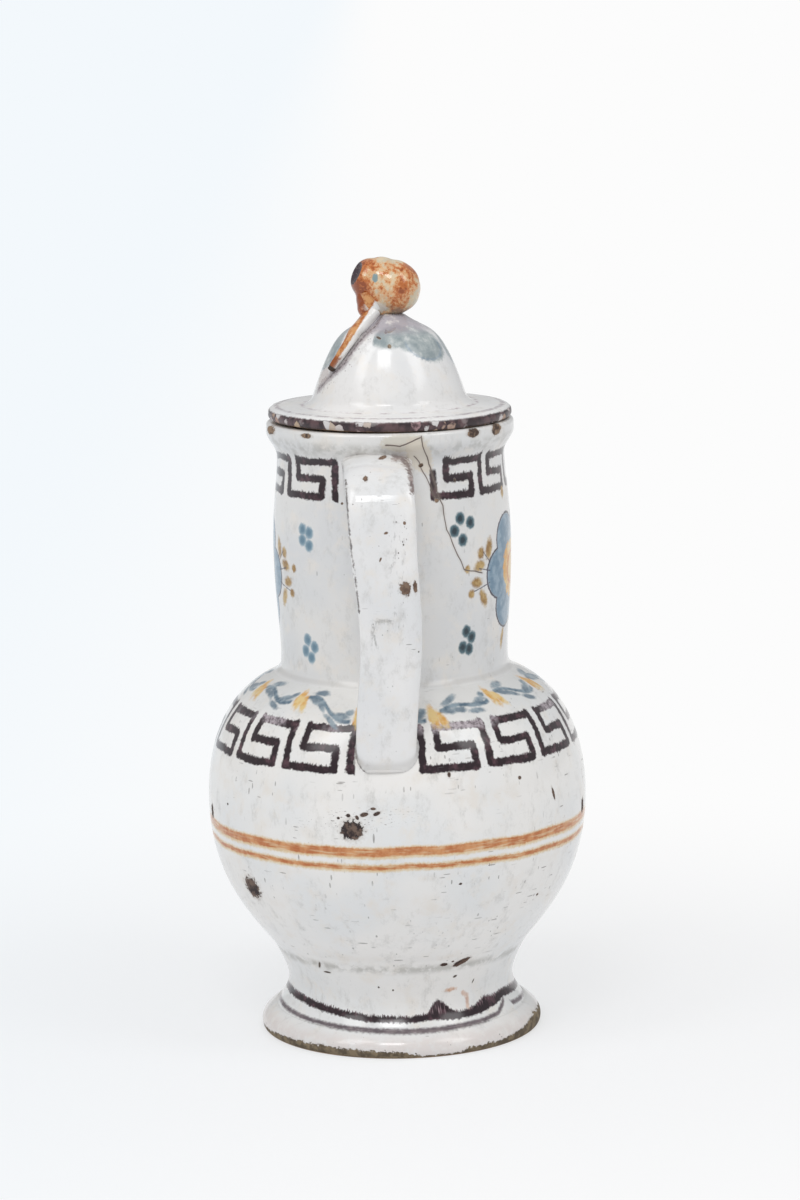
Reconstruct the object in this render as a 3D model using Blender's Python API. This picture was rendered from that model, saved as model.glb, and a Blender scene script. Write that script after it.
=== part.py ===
"""Lidded two-handled vase of tin-glazed earthenware, as separately made pieces.

The vase stands on z = 0 with its axis on Z and its two strap handles on the X axis.
Every size is in metres and every angle in degrees.
"""
import math

import bmesh
import bpy
from mathutils import Vector

# Making: steps of the turned outlines, clay walls and the gap left at each joint.
# A fullness is the share of a stretch's own width or rise over which its outline keeps the
# direction that it starts or ends with; 0.55 on both legs of a corner gives a round one.
TURNING_STEPS = 40
BOWL_STEPS = 8
COLLAR_STEPS = 5
BASE_FLARE_STEPS = 3
DOME_STEPS = 7
CLEARANCE = 0.0003
BODY_WALL = 0.0055
LID_WALL = 0.0045
CORNER_FULLNESS = 0.55
SMOOTH_ANGLE = 35.0

# Foot: a hollow pedestal ring with a moulded rim
FOOT_RADIUS = 0.0547
FOOT_EDGE_ROUND = 0.0014
FOOT_RIM_HEIGHT = 0.0028
FOOT_STANDING_WIDTH = 0.0075
FOOT_STEP_RADIUS = 0.0492
FOOT_STEP_HEIGHT = 0.0093
FOOT_STEP_DEPTH = 0.0008
FOOT_WAIST_RADIUS = 0.0438
FOOT_WAIST_HEIGHT = 0.0200
FOOT_TOP_RADIUS = 0.0474
FOOT_HEIGHT = 0.0316
FOOT_STEP_DROP = 0.0003
FOOT_RIM_LEAN = 62.0
FOOT_COVE_LEAN = 25.0
FOOT_COVE_FULLNESS = 0.18
FOOT_WAIST_FULLNESS = 0.45
FOOT_TOP_LEAN = 17.0
FOOT_TOP_FULLNESS = 0.33
FOOT_BORE_RADIUS = 0.0372
FOOT_BORE_DEPTH = 0.0156
SEAT_LAND = 0.0006

# Belly: a round bowl that sits in the foot's conical seat
SEAT_LEAN = 40.5
BELLY_FLOOR_RADIUS = 0.0378
BELLY_RADIUS = 0.0734
EQUATOR_RISE = 0.0602
BOWL_SEAT_FULLNESS = 0.547
BOWL_EQUATOR_FULLNESS = 0.488
SHOULDER_RISE = 0.0478
SHOULDER_RADIUS = 0.0460
SHOULDER_LEAN = 71.0
SHOULDER_EQUATOR_FULLNESS = 0.195
SHOULDER_TOP_FULLNESS = 0.925
MOUTH_RADIUS = 0.0402
COVE_RISE = 0.0028
COVE_WIDTH = 0.0055

# Neck: a tall collar with a narrow waist, a slight bulge, a throat and a flared lip
WAIST_RADIUS = 0.0439
WAIST_RISE = 0.0089
BULGE_RADIUS = 0.0459
BULGE_RISE = 0.0469
THROAT_RADIUS = 0.0437
THROAT_RISE = 0.0835
LIP_RADIUS = 0.0476
LIP_RISE = 0.0935
NECK_HEIGHT = 0.0971
LIP_ROUND = 0.0016
BASE_FLARE_LEAN = 50.0
BASE_FLARE_FULLNESS = 0.35
WAIST_FULLNESS = 0.45
COLLAR_START_FULLNESS = 0.24
COLLAR_BULGE_FULLNESS = 0.46
COLLAR_FALL_FULLNESS = 0.55
THROAT_FULLNESS = 0.22
LIP_START_FULLNESS = 0.45
LIP_END_FULLNESS = 0.35
SPIGOT_WALL = 0.0022
SPIGOT_DEPTH = 0.0040

# Handles: flat straps from under the lip to the shoulder. The centre line's crown stands
# just outside the belly's widest place, so the finger gap follows from the belly and neck.
HANDLE_TOP_WIDTH = 0.0252
HANDLE_MIDDLE_WIDTH = 0.0222
HANDLE_TONGUE_WIDTH = 0.0240
HANDLE_THICKNESS = 0.0080
HANDLE_TOP_DROP = 0.0115
HANDLE_CROWN_DROP = 0.0300
HANDLE_TOP_FULLNESS = 0.75
HANDLE_CROWN_FULLNESS = 0.38
HANDLE_DROP_FULLNESS = 0.33
HANDLE_TONGUE_LEAN = 4.0
HANDLE_EDGE_SHARE = 0.42
CROWN_SHARE = 0.40
HANDLE_OVERHANG = 0.0003
TONGUE_ABOVE_EQUATOR = 0.0300
TONGUE_TIP_LENGTH = 0.0122
TONGUE_TIP_TURN = 74.0
TONGUE_PROUD = 0.0050
TONGUE_DIVE = 0.0025
TOP_SWAY = -0.0036
TONGUE_SWAY = -0.0018
HANDLE_EDGE_STEPS = 3
HANDLE_BEND_STEPS = 10
HANDLE_DROP_STEPS = 12
TONGUE_TIP_STEPS = 5

# Lid: a hollow bell with a flat flange, and the ring under it that keeps it centred
FLANGE_SETBACK = 0.0008
FLANGE_THICKNESS = 0.0046
FLANGE_ROUND = 0.0018
FLANGE_SLOPE = 0.0010
DOME_FOOT_RADIUS = 0.0333
DOME_RADIUS = 0.0292
DOME_SPRING = 0.0095
DOME_LEAN = 18.4
DOME_FULLNESS = 0.96
DOME_HEIGHT = 0.0391
CROWN_RADIUS = 0.0070
CROWN_LEAN = 53.6
CROWN_FULLNESS = 0.40
CROWN_RISE = 0.0014
RING_PLAY = 0.0009
RING_WIDTH = 0.0045
RING_DEPTH = 0.0100
RING_CHAMFER = 0.0014

# Knob: a fruit lying on its side on the lid's crown, with a twig down the dome
FRUIT_LENGTH = 0.0262
FRUIT_RADIUS = 0.0110
FRUIT_CALYX_RADIUS = 0.0042
FRUIT_CALYX_DISH = 0.0010
FRUIT_CALYX_LEAN = 68.0
FRUIT_FULL_PLACE = 0.0108
FRUIT_TILT = 12.0
FRUIT_SIDE_SHIFT = 0.0020
FRUIT_SUNK = 0.0013
FRUIT_STEPS = 24
TWIG_TOP_RADIUS = 0.0039
TWIG_END_RADIUS = 0.0018
TWIG_ROOT_RISE = 0.0080
TWIG_ROOT_REACH = 0.0072
TWIG_LIFT = 0.65
TWIG_TOP_AZIMUTH = -70.0
TWIG_END_AZIMUTH = -62.0
TWIG_END_DROP = 0.0195
TWIG_BEND = 14.0
TWIG_STEPS = 9
TWIG_SIDES = 12

# Colours of the fired pieces
GLAZE_WHITE = (0.76, 0.75, 0.73)
GLAZE_GREY = (0.70, 0.69, 0.68)
BARE_CLAY = (0.40, 0.31, 0.22)
FRUIT_ORANGE = (0.62, 0.27, 0.08)
TWIG_OCHRE = (0.66, 0.44, 0.22)


def lean(angle):
    """Return the unit step of a line that leans outwards from upright by an angle."""
    turn = math.radians(angle)
    return Vector((math.sin(turn), math.cos(turn)))


def arc(start, start_step, end, end_step, count):
    """Return points of a smooth curve that leaves and arrives along two given steps."""
    start_pull = start + start_step
    end_pull = end - end_step
    points = []
    for index in range(count + 1):
        place = index / count
        rest = 1.0 - place
        points.append(start * rest ** 3 + start_pull * (3 * rest * rest * place)
                      + end_pull * (3 * rest * place * place) + end * place ** 3)
    return points


def eased(place):
    """Return a share from 0 to 1 that starts and ends gently."""
    return place * place * (3.0 - 2.0 * place)


def rounded(corner, before, after, radius, count):
    """Return points that round a corner between the points before and after it."""
    start = corner + (before - corner).normalized() * radius
    end = corner + (after - corner).normalized() * radius
    return arc(start, (corner - start) * CORNER_FULLNESS,
               end, (end - corner) * CORNER_FULLNESS, count)


def radius_at(outline, height):
    """Return the outline's radius at a height."""
    for low, high in zip(outline, outline[1:]):
        if low.y <= height <= high.y:
            return low.x + (high.x - low.x) * (height - low.y) / max(high.y - low.y, 1e-9)
    return outline[-1].x if height > outline[-1].y else outline[0].x


def seat_edge():
    """Return the place where the belly's seat cone ends and its bowl begins."""
    step = lean(SEAT_LEAN)
    inner_edge = Vector((FOOT_TOP_RADIUS - SEAT_LAND, FOOT_HEIGHT))
    shifted = inner_edge + Vector((-step.y, step.x)) * CLEARANCE
    return shifted + step * ((FOOT_TOP_RADIUS - shifted.x) / step.x)


def belly_floor():
    """Return the outer edge of the belly's flat underside."""
    edge = seat_edge()
    step = lean(SEAT_LEAN)
    return edge - step * ((edge.x - BELLY_FLOOR_RADIUS) / step.x)


def equator_height():
    """Return the height of the belly's widest place."""
    return seat_edge().y + EQUATOR_RISE


def shoulder_height():
    """Return the height of the belly's top face."""
    return equator_height() + SHOULDER_RISE


def neck_base():
    """Return the height of the neck's lower face."""
    return shoulder_height() + CLEARANCE


def rim_height():
    """Return the height of the neck's upper face."""
    return neck_base() + NECK_HEIGHT


def lid_base():
    """Return the height of the lid's underside."""
    return rim_height() + CLEARANCE


def bowl_outline(inset, count):
    """Return the belly's outline from its seat edge to its top, moved inwards by an inset."""
    seat_step = lean(SEAT_LEAN)
    top_step = lean(-SHOULDER_LEAN)
    start = seat_edge() + Vector((-seat_step.y, seat_step.x)) * inset
    middle = Vector((BELLY_RADIUS - inset, equator_height()))
    end = Vector((SHOULDER_RADIUS, shoulder_height())) - Vector((top_step.y, -top_step.x)) * inset
    seat_pull = (middle.x - start.x) * BOWL_SEAT_FULLNESS / seat_step.x
    top_pull = (middle.x - end.x) * SHOULDER_TOP_FULLNESS / -top_step.x
    rise_pull = Vector((0.0, middle.y - start.y)) * BOWL_EQUATOR_FULLNESS
    round_pull = Vector((0.0, end.y - middle.y)) * SHOULDER_EQUATOR_FULLNESS
    lower = arc(start, seat_step * seat_pull, middle, rise_pull, count)
    upper = arc(middle, round_pull, end, top_step * top_pull, count)
    return lower + upper[1:]


def neck_outline(inset, count):
    """Return the neck's outline from its base to the start of its lip, moved inwards."""
    base = neck_base()
    up = Vector((0.0, 1.0))
    foot = Vector((SHOULDER_RADIUS - inset, base))
    waist = Vector((WAIST_RADIUS - inset, base + WAIST_RISE))
    bulge = Vector((BULGE_RADIUS - inset, base + BULGE_RISE))
    throat = Vector((THROAT_RADIUS - inset, base + THROAT_RISE))
    rise = bulge.y - waist.y
    fall = throat.y - bulge.y
    points = arc(foot, lean(-BASE_FLARE_LEAN) * WAIST_RISE * BASE_FLARE_FULLNESS,
                 waist, up * WAIST_RISE * WAIST_FULLNESS, BASE_FLARE_STEPS)
    points += arc(waist, up * rise * COLLAR_START_FULLNESS,
                  bulge, up * rise * COLLAR_BULGE_FULLNESS, count)[1:]
    points += arc(bulge, up * fall * COLLAR_FALL_FULLNESS,
                  throat, up * fall * THROAT_FULLNESS, count)[1:]
    return points


def lip_outline(growth):
    """Return the flare from the throat to the lip, moved outwards by a growth."""
    base = neck_base()
    up = Vector((0.0, 1.0)) * (LIP_RISE - THROAT_RISE)
    throat = Vector((THROAT_RADIUS + growth, base + THROAT_RISE))
    lip = Vector((LIP_RADIUS + growth, base + LIP_RISE))
    return arc(throat, up * LIP_START_FULLNESS, lip, up * LIP_END_FULLNESS, 4)


def dome_outline(inset, count):
    """Return the dome's outline from its springing to its crown, moved inwards."""
    base = lid_base()
    spring = Vector((DOME_RADIUS - inset, base + DOME_SPRING))
    edge = Vector((CROWN_RADIUS, base + DOME_HEIGHT)) - lean(90.0 - CROWN_LEAN) * inset
    crown = Vector((0.0, base + DOME_HEIGHT + CROWN_RISE - inset))
    spring_pull = (edge.y - spring.y) * DOME_FULLNESS / lean(DOME_LEAN).y
    crown_pull = (spring.x - edge.x) * CROWN_FULLNESS / lean(CROWN_LEAN).x
    points = arc(spring, lean(-DOME_LEAN) * spring_pull,
                 edge, lean(-CROWN_LEAN) * crown_pull, count)
    points += arc(edge, lean(-CROWN_LEAN) * CROWN_RISE,
                  crown, Vector((-CROWN_RADIUS * CORNER_FULLNESS, 0.0)), 3)[1:]
    return points


def foot_loop():
    """Return the foot's closed section."""
    up = Vector((0.0, 1.0))
    seat_step = lean(SEAT_LEAN)
    standing = Vector((FOOT_RADIUS - FOOT_EDGE_ROUND, 0.0))
    rim = Vector((FOOT_RADIUS, FOOT_RIM_HEIGHT))
    step_edge = Vector((FOOT_STEP_RADIUS, FOOT_STEP_HEIGHT))
    ledge = step_edge + Vector((-FOOT_STEP_DEPTH, FOOT_STEP_DROP))
    waist = Vector((FOOT_WAIST_RADIUS, FOOT_WAIST_HEIGHT))
    top = Vector((FOOT_TOP_RADIUS, FOOT_HEIGHT))
    seat_top = top - Vector((SEAT_LAND, 0.0))
    seat_low = seat_top - seat_step * ((seat_top.x - FOOT_BORE_RADIUS) / seat_step.x)
    inner_foot = Vector((FOOT_RADIUS - FOOT_EDGE_ROUND - FOOT_STANDING_WIDTH, 0.0))
    bore = Vector((FOOT_BORE_RADIUS, FOOT_BORE_DEPTH))
    cove_rise = waist.y - ledge.y
    top_rise = top.y - waist.y
    points = arc(standing, Vector((FOOT_EDGE_ROUND * CORNER_FULLNESS, 0.0)),
                 rim, up * FOOT_RIM_HEIGHT * CORNER_FULLNESS, 3)
    points += arc(rim, up * FOOT_RIM_HEIGHT, step_edge,
                  lean(-FOOT_RIM_LEAN) * FOOT_RIM_HEIGHT, 4)[1:]
    points += arc(ledge, lean(-FOOT_COVE_LEAN) * cove_rise * FOOT_COVE_FULLNESS,
                  waist, up * cove_rise * FOOT_WAIST_FULLNESS, 5)
    points += arc(waist, up * top_rise * FOOT_TOP_FULLNESS,
                  top, lean(FOOT_TOP_LEAN) * top_rise * FOOT_TOP_FULLNESS, 4)[1:]
    points += [seat_top, seat_low]
    points += arc(bore, -up * FOOT_BORE_DEPTH * FOOT_TOP_FULLNESS,
                  inner_foot, -up * FOOT_BORE_DEPTH * FOOT_COVE_FULLNESS, 4)
    return points


def belly_loop():
    """Return the belly's section from the axis underneath to the axis inside."""
    floor = belly_floor()
    outer = bowl_outline(0.0, BOWL_STEPS)
    inner = bowl_outline(BODY_WALL, 5)
    bore_top = Vector((MOUTH_RADIUS, shoulder_height()))
    reach = (inner[-1].x - MOUTH_RADIUS) / math.tan(math.radians(SHOULDER_LEAN))
    bore_low = Vector((MOUTH_RADIUS, inner[-1].y + reach))
    floor_inside = floor.y + BODY_WALL
    seat_step = lean(SEAT_LEAN)
    drop = (inner[0].y - floor_inside - COVE_RISE) / seat_step.y
    cove = inner[0] - seat_step * drop
    cove_end = Vector((cove.x - COVE_WIDTH, floor_inside))
    points = [Vector((0.0, floor.y)), floor] + outer + [bore_top, bore_low] + inner[::-1]
    points += arc(cove, -seat_step * COVE_RISE * CORNER_FULLNESS,
                  cove_end, Vector((-COVE_WIDTH * CORNER_FULLNESS, 0.0)), 2)
    points += [Vector((0.0, floor_inside))]
    return points


def neck_loop():
    """Return the neck's closed section, with its spigot inside the belly's mouth."""
    base = neck_base()
    rim = rim_height()
    spigot_radius = MOUTH_RADIUS - CLEARANCE
    bore_radius = spigot_radius - SPIGOT_WALL
    outer = neck_outline(0.0, COLLAR_STEPS)
    inner = neck_outline(BODY_WALL, 3)
    lip = lip_outline(0.0)
    lip_top = Vector((LIP_RADIUS, rim))
    throat_bore = THROAT_RADIUS - BODY_WALL
    bore_rim = Vector((throat_bore, rim))
    points = outer + lip[1:]
    points += rounded(lip_top, lip[-1], bore_rim, LIP_ROUND, 3)
    points += rounded(bore_rim, lip_top, Vector((throat_bore, base)), LIP_ROUND, 2)
    points += inner[BASE_FLARE_STEPS:][::-1]
    points += [Vector((bore_radius, base + WAIST_RISE * WAIST_FULLNESS)),
               Vector((bore_radius, base - SPIGOT_DEPTH)),
               Vector((spigot_radius, base - SPIGOT_DEPTH)),
               Vector((spigot_radius, base))]
    return points


def lid_loop():
    """Return the lid's section from the axis inside to the axis on the crown."""
    base = lid_base()
    flange_radius = LIP_RADIUS - FLANGE_SETBACK
    outer = dome_outline(0.0, DOME_STEPS)
    inner = dome_outline(LID_WALL, 5)
    opening = Vector((inner[0].x, base))
    edge_low = Vector((flange_radius, base))
    edge_top = Vector((flange_radius, base + FLANGE_THICKNESS))
    flange_inner = Vector((DOME_FOOT_RADIUS, base + FLANGE_THICKNESS + FLANGE_SLOPE))
    points = inner[::-1] + [opening]
    points += rounded(edge_low, opening, edge_top, FLANGE_ROUND, 3)
    points += rounded(edge_top, edge_low, flange_inner, FLANGE_ROUND, 3)
    cove_rise = outer[0].y - flange_inner.y
    cove_width = flange_inner.x - outer[0].x
    points += arc(flange_inner, Vector((-cove_width * CORNER_FULLNESS, 0.0)),
                  outer[0], lean(-DOME_LEAN) * cove_rise * CORNER_FULLNESS, 4)
    points += outer[1:]
    return points


def ring_loop():
    """Return the locating ring's closed section, under the flange and inside the throat."""
    top = lid_base() - CLEARANCE
    outer = THROAT_RADIUS - BODY_WALL - RING_PLAY
    inner = outer - RING_WIDTH
    low = top - RING_DEPTH
    return [Vector((outer, top)), Vector((inner, top)), Vector((inner, low)),
            Vector((outer - RING_CHAMFER, low)), Vector((outer, low + RING_CHAMFER))]


def fruit_loop(growth):
    """Return the fruit's section along its own axis, from its blossom end to its round end."""
    calyx = Vector((FRUIT_CALYX_RADIUS + growth, -growth))
    full = Vector((FRUIT_RADIUS + growth, FRUIT_LENGTH - FRUIT_FULL_PLACE))
    end = Vector((0.0, FRUIT_LENGTH + growth))
    rise = full.y - calyx.y
    points = [Vector((0.0, FRUIT_CALYX_DISH - growth))]
    points += arc(calyx, lean(FRUIT_CALYX_LEAN) * FRUIT_CALYX_RADIUS,
                  full, Vector((0.0, rise * CORNER_FULLNESS)), 6)
    points += arc(full, Vector((0.0, FRUIT_FULL_PLACE * CORNER_FULLNESS)),
                  end, Vector((-FRUIT_RADIUS * CORNER_FULLNESS, 0.0)), 6)[1:]
    return points


def turned_mesh(name, loop, origin_height, steps):
    """Return a mesh made by turning a section once round the Z axis."""
    form = bmesh.new()
    corners = [form.verts.new((point.x, 0.0, point.y - origin_height)) for point in loop]
    closed = loop[0].x > 0.0 or loop[-1].x > 0.0
    edges = [form.edges.new(pair) for pair in zip(corners, corners[1:])]
    if closed:
        edges.append(form.edges.new((corners[-1], corners[0])))
    bmesh.ops.spin(form, geom=corners + edges, cent=(0, 0, 0), axis=(0, 0, 1),
                   angle=math.tau, steps=steps, use_merge=True)
    bmesh.ops.remove_doubles(form, verts=form.verts, dist=1e-6)
    bmesh.ops.recalc_face_normals(form, faces=form.faces)
    mesh = bpy.data.meshes.new(name)
    form.to_mesh(mesh)
    form.free()
    mesh.shade_smooth()
    mesh.set_sharp_from_angle(angle=math.radians(SMOOTH_ANGLE))
    return mesh


def swept_mesh(name, rings):
    """Return a closed mesh that passes through rings of points, with flat ends."""
    form = bmesh.new()
    loops = [[form.verts.new(point) for point in ring] for ring in rings]
    for near, far in zip(loops, loops[1:]):
        for index in range(len(near)):
            after = (index + 1) % len(near)
            form.faces.new((near[index], near[after], far[after], far[index]))
    form.faces.new(loops[0])
    form.faces.new(loops[-1])
    bmesh.ops.recalc_face_normals(form, faces=form.faces)
    mesh = bpy.data.meshes.new(name)
    form.to_mesh(mesh)
    form.free()
    mesh.shade_smooth()
    mesh.set_sharp_from_angle(angle=math.radians(SMOOTH_ANGLE))
    return mesh


def fired_material(name, colour, roughness):
    """Return a plain material of one colour."""
    material = bpy.data.materials.new(name)
    material.use_nodes = True
    shader = material.node_tree.nodes["Principled BSDF"]
    shader.inputs["Base Color"].default_value = (*colour, 1.0)
    shader.inputs["Roughness"].default_value = roughness
    shader.inputs["Metallic"].default_value = 0.0
    return material


def piece(name, mesh, material, origin, parent):
    """Place a mesh as a named piece under a parent, whose place is taken from its origin."""
    item = bpy.data.objects.new(name, mesh)
    bpy.context.scene.collection.objects.link(item)
    if not mesh.materials:
        mesh.materials.append(material)
    item.parent = parent
    item.location = Vector(origin) - parent.location
    return item


def frame_empty(name, height):
    """Place an empty on the vase's axis at a height."""
    empty = bpy.data.objects.new(name, None)
    bpy.context.scene.collection.objects.link(empty)
    empty.location = (0.0, 0.0, height)
    return empty


def cutter(name, mesh, origin, parent):
    """Place a mesh that only trims other pieces."""
    item = piece(name, mesh, fired_material(name, BARE_CLAY, 0.9), origin, parent)
    item.hide_render = True
    item.display_type = "WIRE"
    return item


def trim(item, tool):
    """Cut a tool's shape out of a piece."""
    cut = item.modifiers.new("trim_" + tool.name, "BOOLEAN")
    cut.operation = "DIFFERENCE"
    cut.solver = "EXACT"
    cut.object = tool


def handle_path():
    """Return the strap's centre line in the XZ plane, with the width at each place."""
    crown_height = rim_height() - HANDLE_CROWN_DROP
    top_height = rim_height() - HANDLE_TOP_DROP
    tongue_height = equator_height() + TONGUE_ABOVE_EQUATOR
    half = HANDLE_THICKNESS / 2.0
    start = Vector((THROAT_RADIUS - BODY_WALL + CLEARANCE, top_height))
    crown = Vector((BELLY_RADIUS + HANDLE_OVERHANG, crown_height))
    belly_radius = radius_at(bowl_outline(0.0, 24), tongue_height)
    end = Vector((belly_radius + TONGUE_PROUD - half, tongue_height))
    bend = crown.x - start.x
    drop = crown.y - end.y
    down = Vector((0.0, -1.0))
    first = arc(start, Vector((bend * HANDLE_TOP_FULLNESS, 0.0)),
                crown, down * HANDLE_CROWN_DROP * HANDLE_CROWN_FULLNESS, HANDLE_BEND_STEPS)
    second = arc(crown, down * drop * HANDLE_DROP_FULLNESS,
                 end, -lean(HANDLE_TONGUE_LEAN) * drop * HANDLE_DROP_FULLNESS, HANDLE_DROP_STEPS)
    crown_width = HANDLE_TOP_WIDTH + (HANDLE_MIDDLE_WIDTH - HANDLE_TOP_WIDTH) * CROWN_SHARE
    crown_sway = TOP_SWAY * (1.0 - CROWN_SHARE)
    stations = []
    for index, point in enumerate(first):
        place = index / HANDLE_BEND_STEPS
        sway = TOP_SWAY + (crown_sway - TOP_SWAY) * place
        width = HANDLE_TOP_WIDTH + (crown_width - HANDLE_TOP_WIDTH) * place
        stations.append((point, sway, width))
    for index, point in enumerate(second[1:], start=1):
        place = index / HANDLE_DROP_STEPS
        settle = eased(min(1.0, place * 2.0))
        spread = eased(max(0.0, place * 2.0 - 1.0))
        sway = crown_sway * (1.0 - settle) + TONGUE_SWAY * spread
        width = crown_width + (HANDLE_MIDDLE_WIDTH - crown_width) * settle
        width += (HANDLE_TONGUE_WIDTH - HANDLE_MIDDLE_WIDTH) * spread
        stations.append((point, sway, width))
    return stations


def strap_section(width, thickness):
    """Return the strap's section across and through, with well-rounded edges."""
    radius = min(thickness, width) * HANDLE_EDGE_SHARE
    corners = [(1, 1), (-1, 1), (-1, -1), (1, -1)]
    points = []
    for number, (side, face) in enumerate(corners):
        centre = Vector((side * (width / 2.0 - radius), face * (thickness / 2.0 - radius)))
        for step in range(HANDLE_EDGE_STEPS + 1):
            turn = math.radians(90.0 * number + 90.0 * step / HANDLE_EDGE_STEPS)
            points.append(centre + Vector((math.cos(turn), math.sin(turn))) * radius)
    return points


def handle_mesh():
    """Return the strap's mesh, before its ends are trimmed to the neck and the belly."""
    stations = handle_path()
    rings = []
    for index, (point, sway, width) in enumerate(stations):
        before = stations[max(index - 1, 0)][0]
        after = stations[min(index + 1, len(stations) - 1)][0]
        along = (after - before).normalized()
        outwards = Vector((-along.y, along.x))
        hug = max(0.0, (index - HANDLE_BEND_STEPS) / HANDLE_DROP_STEPS)
        ring = []
        for across, through in strap_section(width, HANDLE_THICKNESS):
            place = point + outwards * through
            wrap = hug * across ** 2 / (2.0 * BELLY_RADIUS)
            ring.append((place.x - wrap, sway + across, place.y))
        rings.append(ring)
    point, sway, width = stations[-1]
    for step in range(1, TONGUE_TIP_STEPS + 1):
        turn = math.radians(TONGUE_TIP_TURN * step / TONGUE_TIP_STEPS)
        ring = []
        for across, through in strap_section(width * math.cos(turn), HANDLE_THICKNESS):
            wrap = across ** 2 / (2.0 * BELLY_RADIUS) + TONGUE_DIVE * (1.0 - math.cos(turn))
            ring.append((point.x + through - wrap, sway + across,
                         point.y - TONGUE_TIP_LENGTH * math.sin(turn)))
        rings.append(ring)
    return swept_mesh("strap", rings)


def twig_mesh():
    """Return the twig's tapered mesh, from inside the fruit to its broken end on the dome."""
    dome = dome_outline(0.0, 24)
    crown_height = lid_base() + DOME_HEIGHT
    top_height = crown_height + TWIG_ROOT_RISE
    rings = []
    for index in range(TWIG_STEPS + 1):
        place = index / TWIG_STEPS
        radius = TWIG_TOP_RADIUS + (TWIG_END_RADIUS - TWIG_TOP_RADIUS) * place
        height = top_height - (top_height - crown_height + TWIG_END_DROP) * place
        sag = math.sin(math.pi * place)
        azimuth = TWIG_TOP_AZIMUTH + (TWIG_END_AZIMUTH - TWIG_TOP_AZIMUTH) * place + TWIG_BEND * sag
        reach = max(radius_at(dome, height), TWIG_ROOT_REACH) + radius * TWIG_LIFT
        turn = math.radians(azimuth)
        rings.append((Vector((reach * math.cos(turn), reach * math.sin(turn),
                              height + radius * (1.0 - TWIG_LIFT))), radius))
    loops = []
    for index, (centre, radius) in enumerate(rings):
        before = rings[max(index - 1, 0)][0]
        after = rings[min(index + 1, len(rings) - 1)][0]
        along = (after - before).normalized()
        side = along.cross(Vector((0.0, 0.0, 1.0))).normalized()
        rise = side.cross(along)
        loop = []
        for step in range(TWIG_SIDES):
            turn = math.tau * step / TWIG_SIDES
            loop.append(centre + (side * math.cos(turn) + rise * math.sin(turn)) * radius)
        loops.append(loop)
    return swept_mesh("twig", loops)


def build_body(axis):
    """Make the foot, belly, neck and the two handles."""
    glaze = fired_material("body_glaze", GLAZE_WHITE, 0.22)
    strap_glaze = fired_material("strap_glaze", GLAZE_GREY, 0.26)
    foot_glaze = fired_material("foot_glaze", GLAZE_WHITE, 0.24)
    neck_glaze = fired_material("neck_glaze", GLAZE_WHITE, 0.20)
    floor = belly_floor().y
    base = neck_base()
    piece("foot", turned_mesh("foot", foot_loop(), 0.0, TURNING_STEPS), foot_glaze,
          (0, 0, 0), axis)
    piece("belly", turned_mesh("belly", belly_loop(), floor, TURNING_STEPS), glaze,
          (0, 0, floor), axis)
    piece("neck", turned_mesh("neck", neck_loop(), base, TURNING_STEPS), neck_glaze,
          (0, 0, base), axis)

    bowl = bowl_outline(-CLEARANCE, BOWL_STEPS)
    bowl_fill = [Vector((0.0, bowl[0].y))] + bowl + [Vector((0.0, bowl[-1].y))]
    collar = neck_outline(-CLEARANCE, COLLAR_STEPS) + lip_outline(CLEARANCE)[1:]
    collar_top = Vector((LIP_RADIUS + CLEARANCE, rim_height()))
    collar_fill = [Vector((0.0, collar[0].y))] + collar + [collar_top, Vector((0.0, collar_top.y))]
    bowl_cutter = cutter("bowl_cutter", turned_mesh("bowl_cutter", bowl_fill, 0.0, TURNING_STEPS),
                         (0, 0, 0), axis)
    neck_cutter = cutter("neck_cutter", turned_mesh("neck_cutter", collar_fill, 0.0, TURNING_STEPS),
                         (0, 0, 0), axis)
    strap = handle_mesh()
    for name, turn in (("handle_right", 0.0), ("handle_left", 180.0)):
        handle = piece(name, strap, strap_glaze, (0, 0, 0), axis)
        handle.rotation_euler.z = math.radians(turn)
        trim(handle, neck_cutter)
        trim(handle, bowl_cutter)


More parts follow.
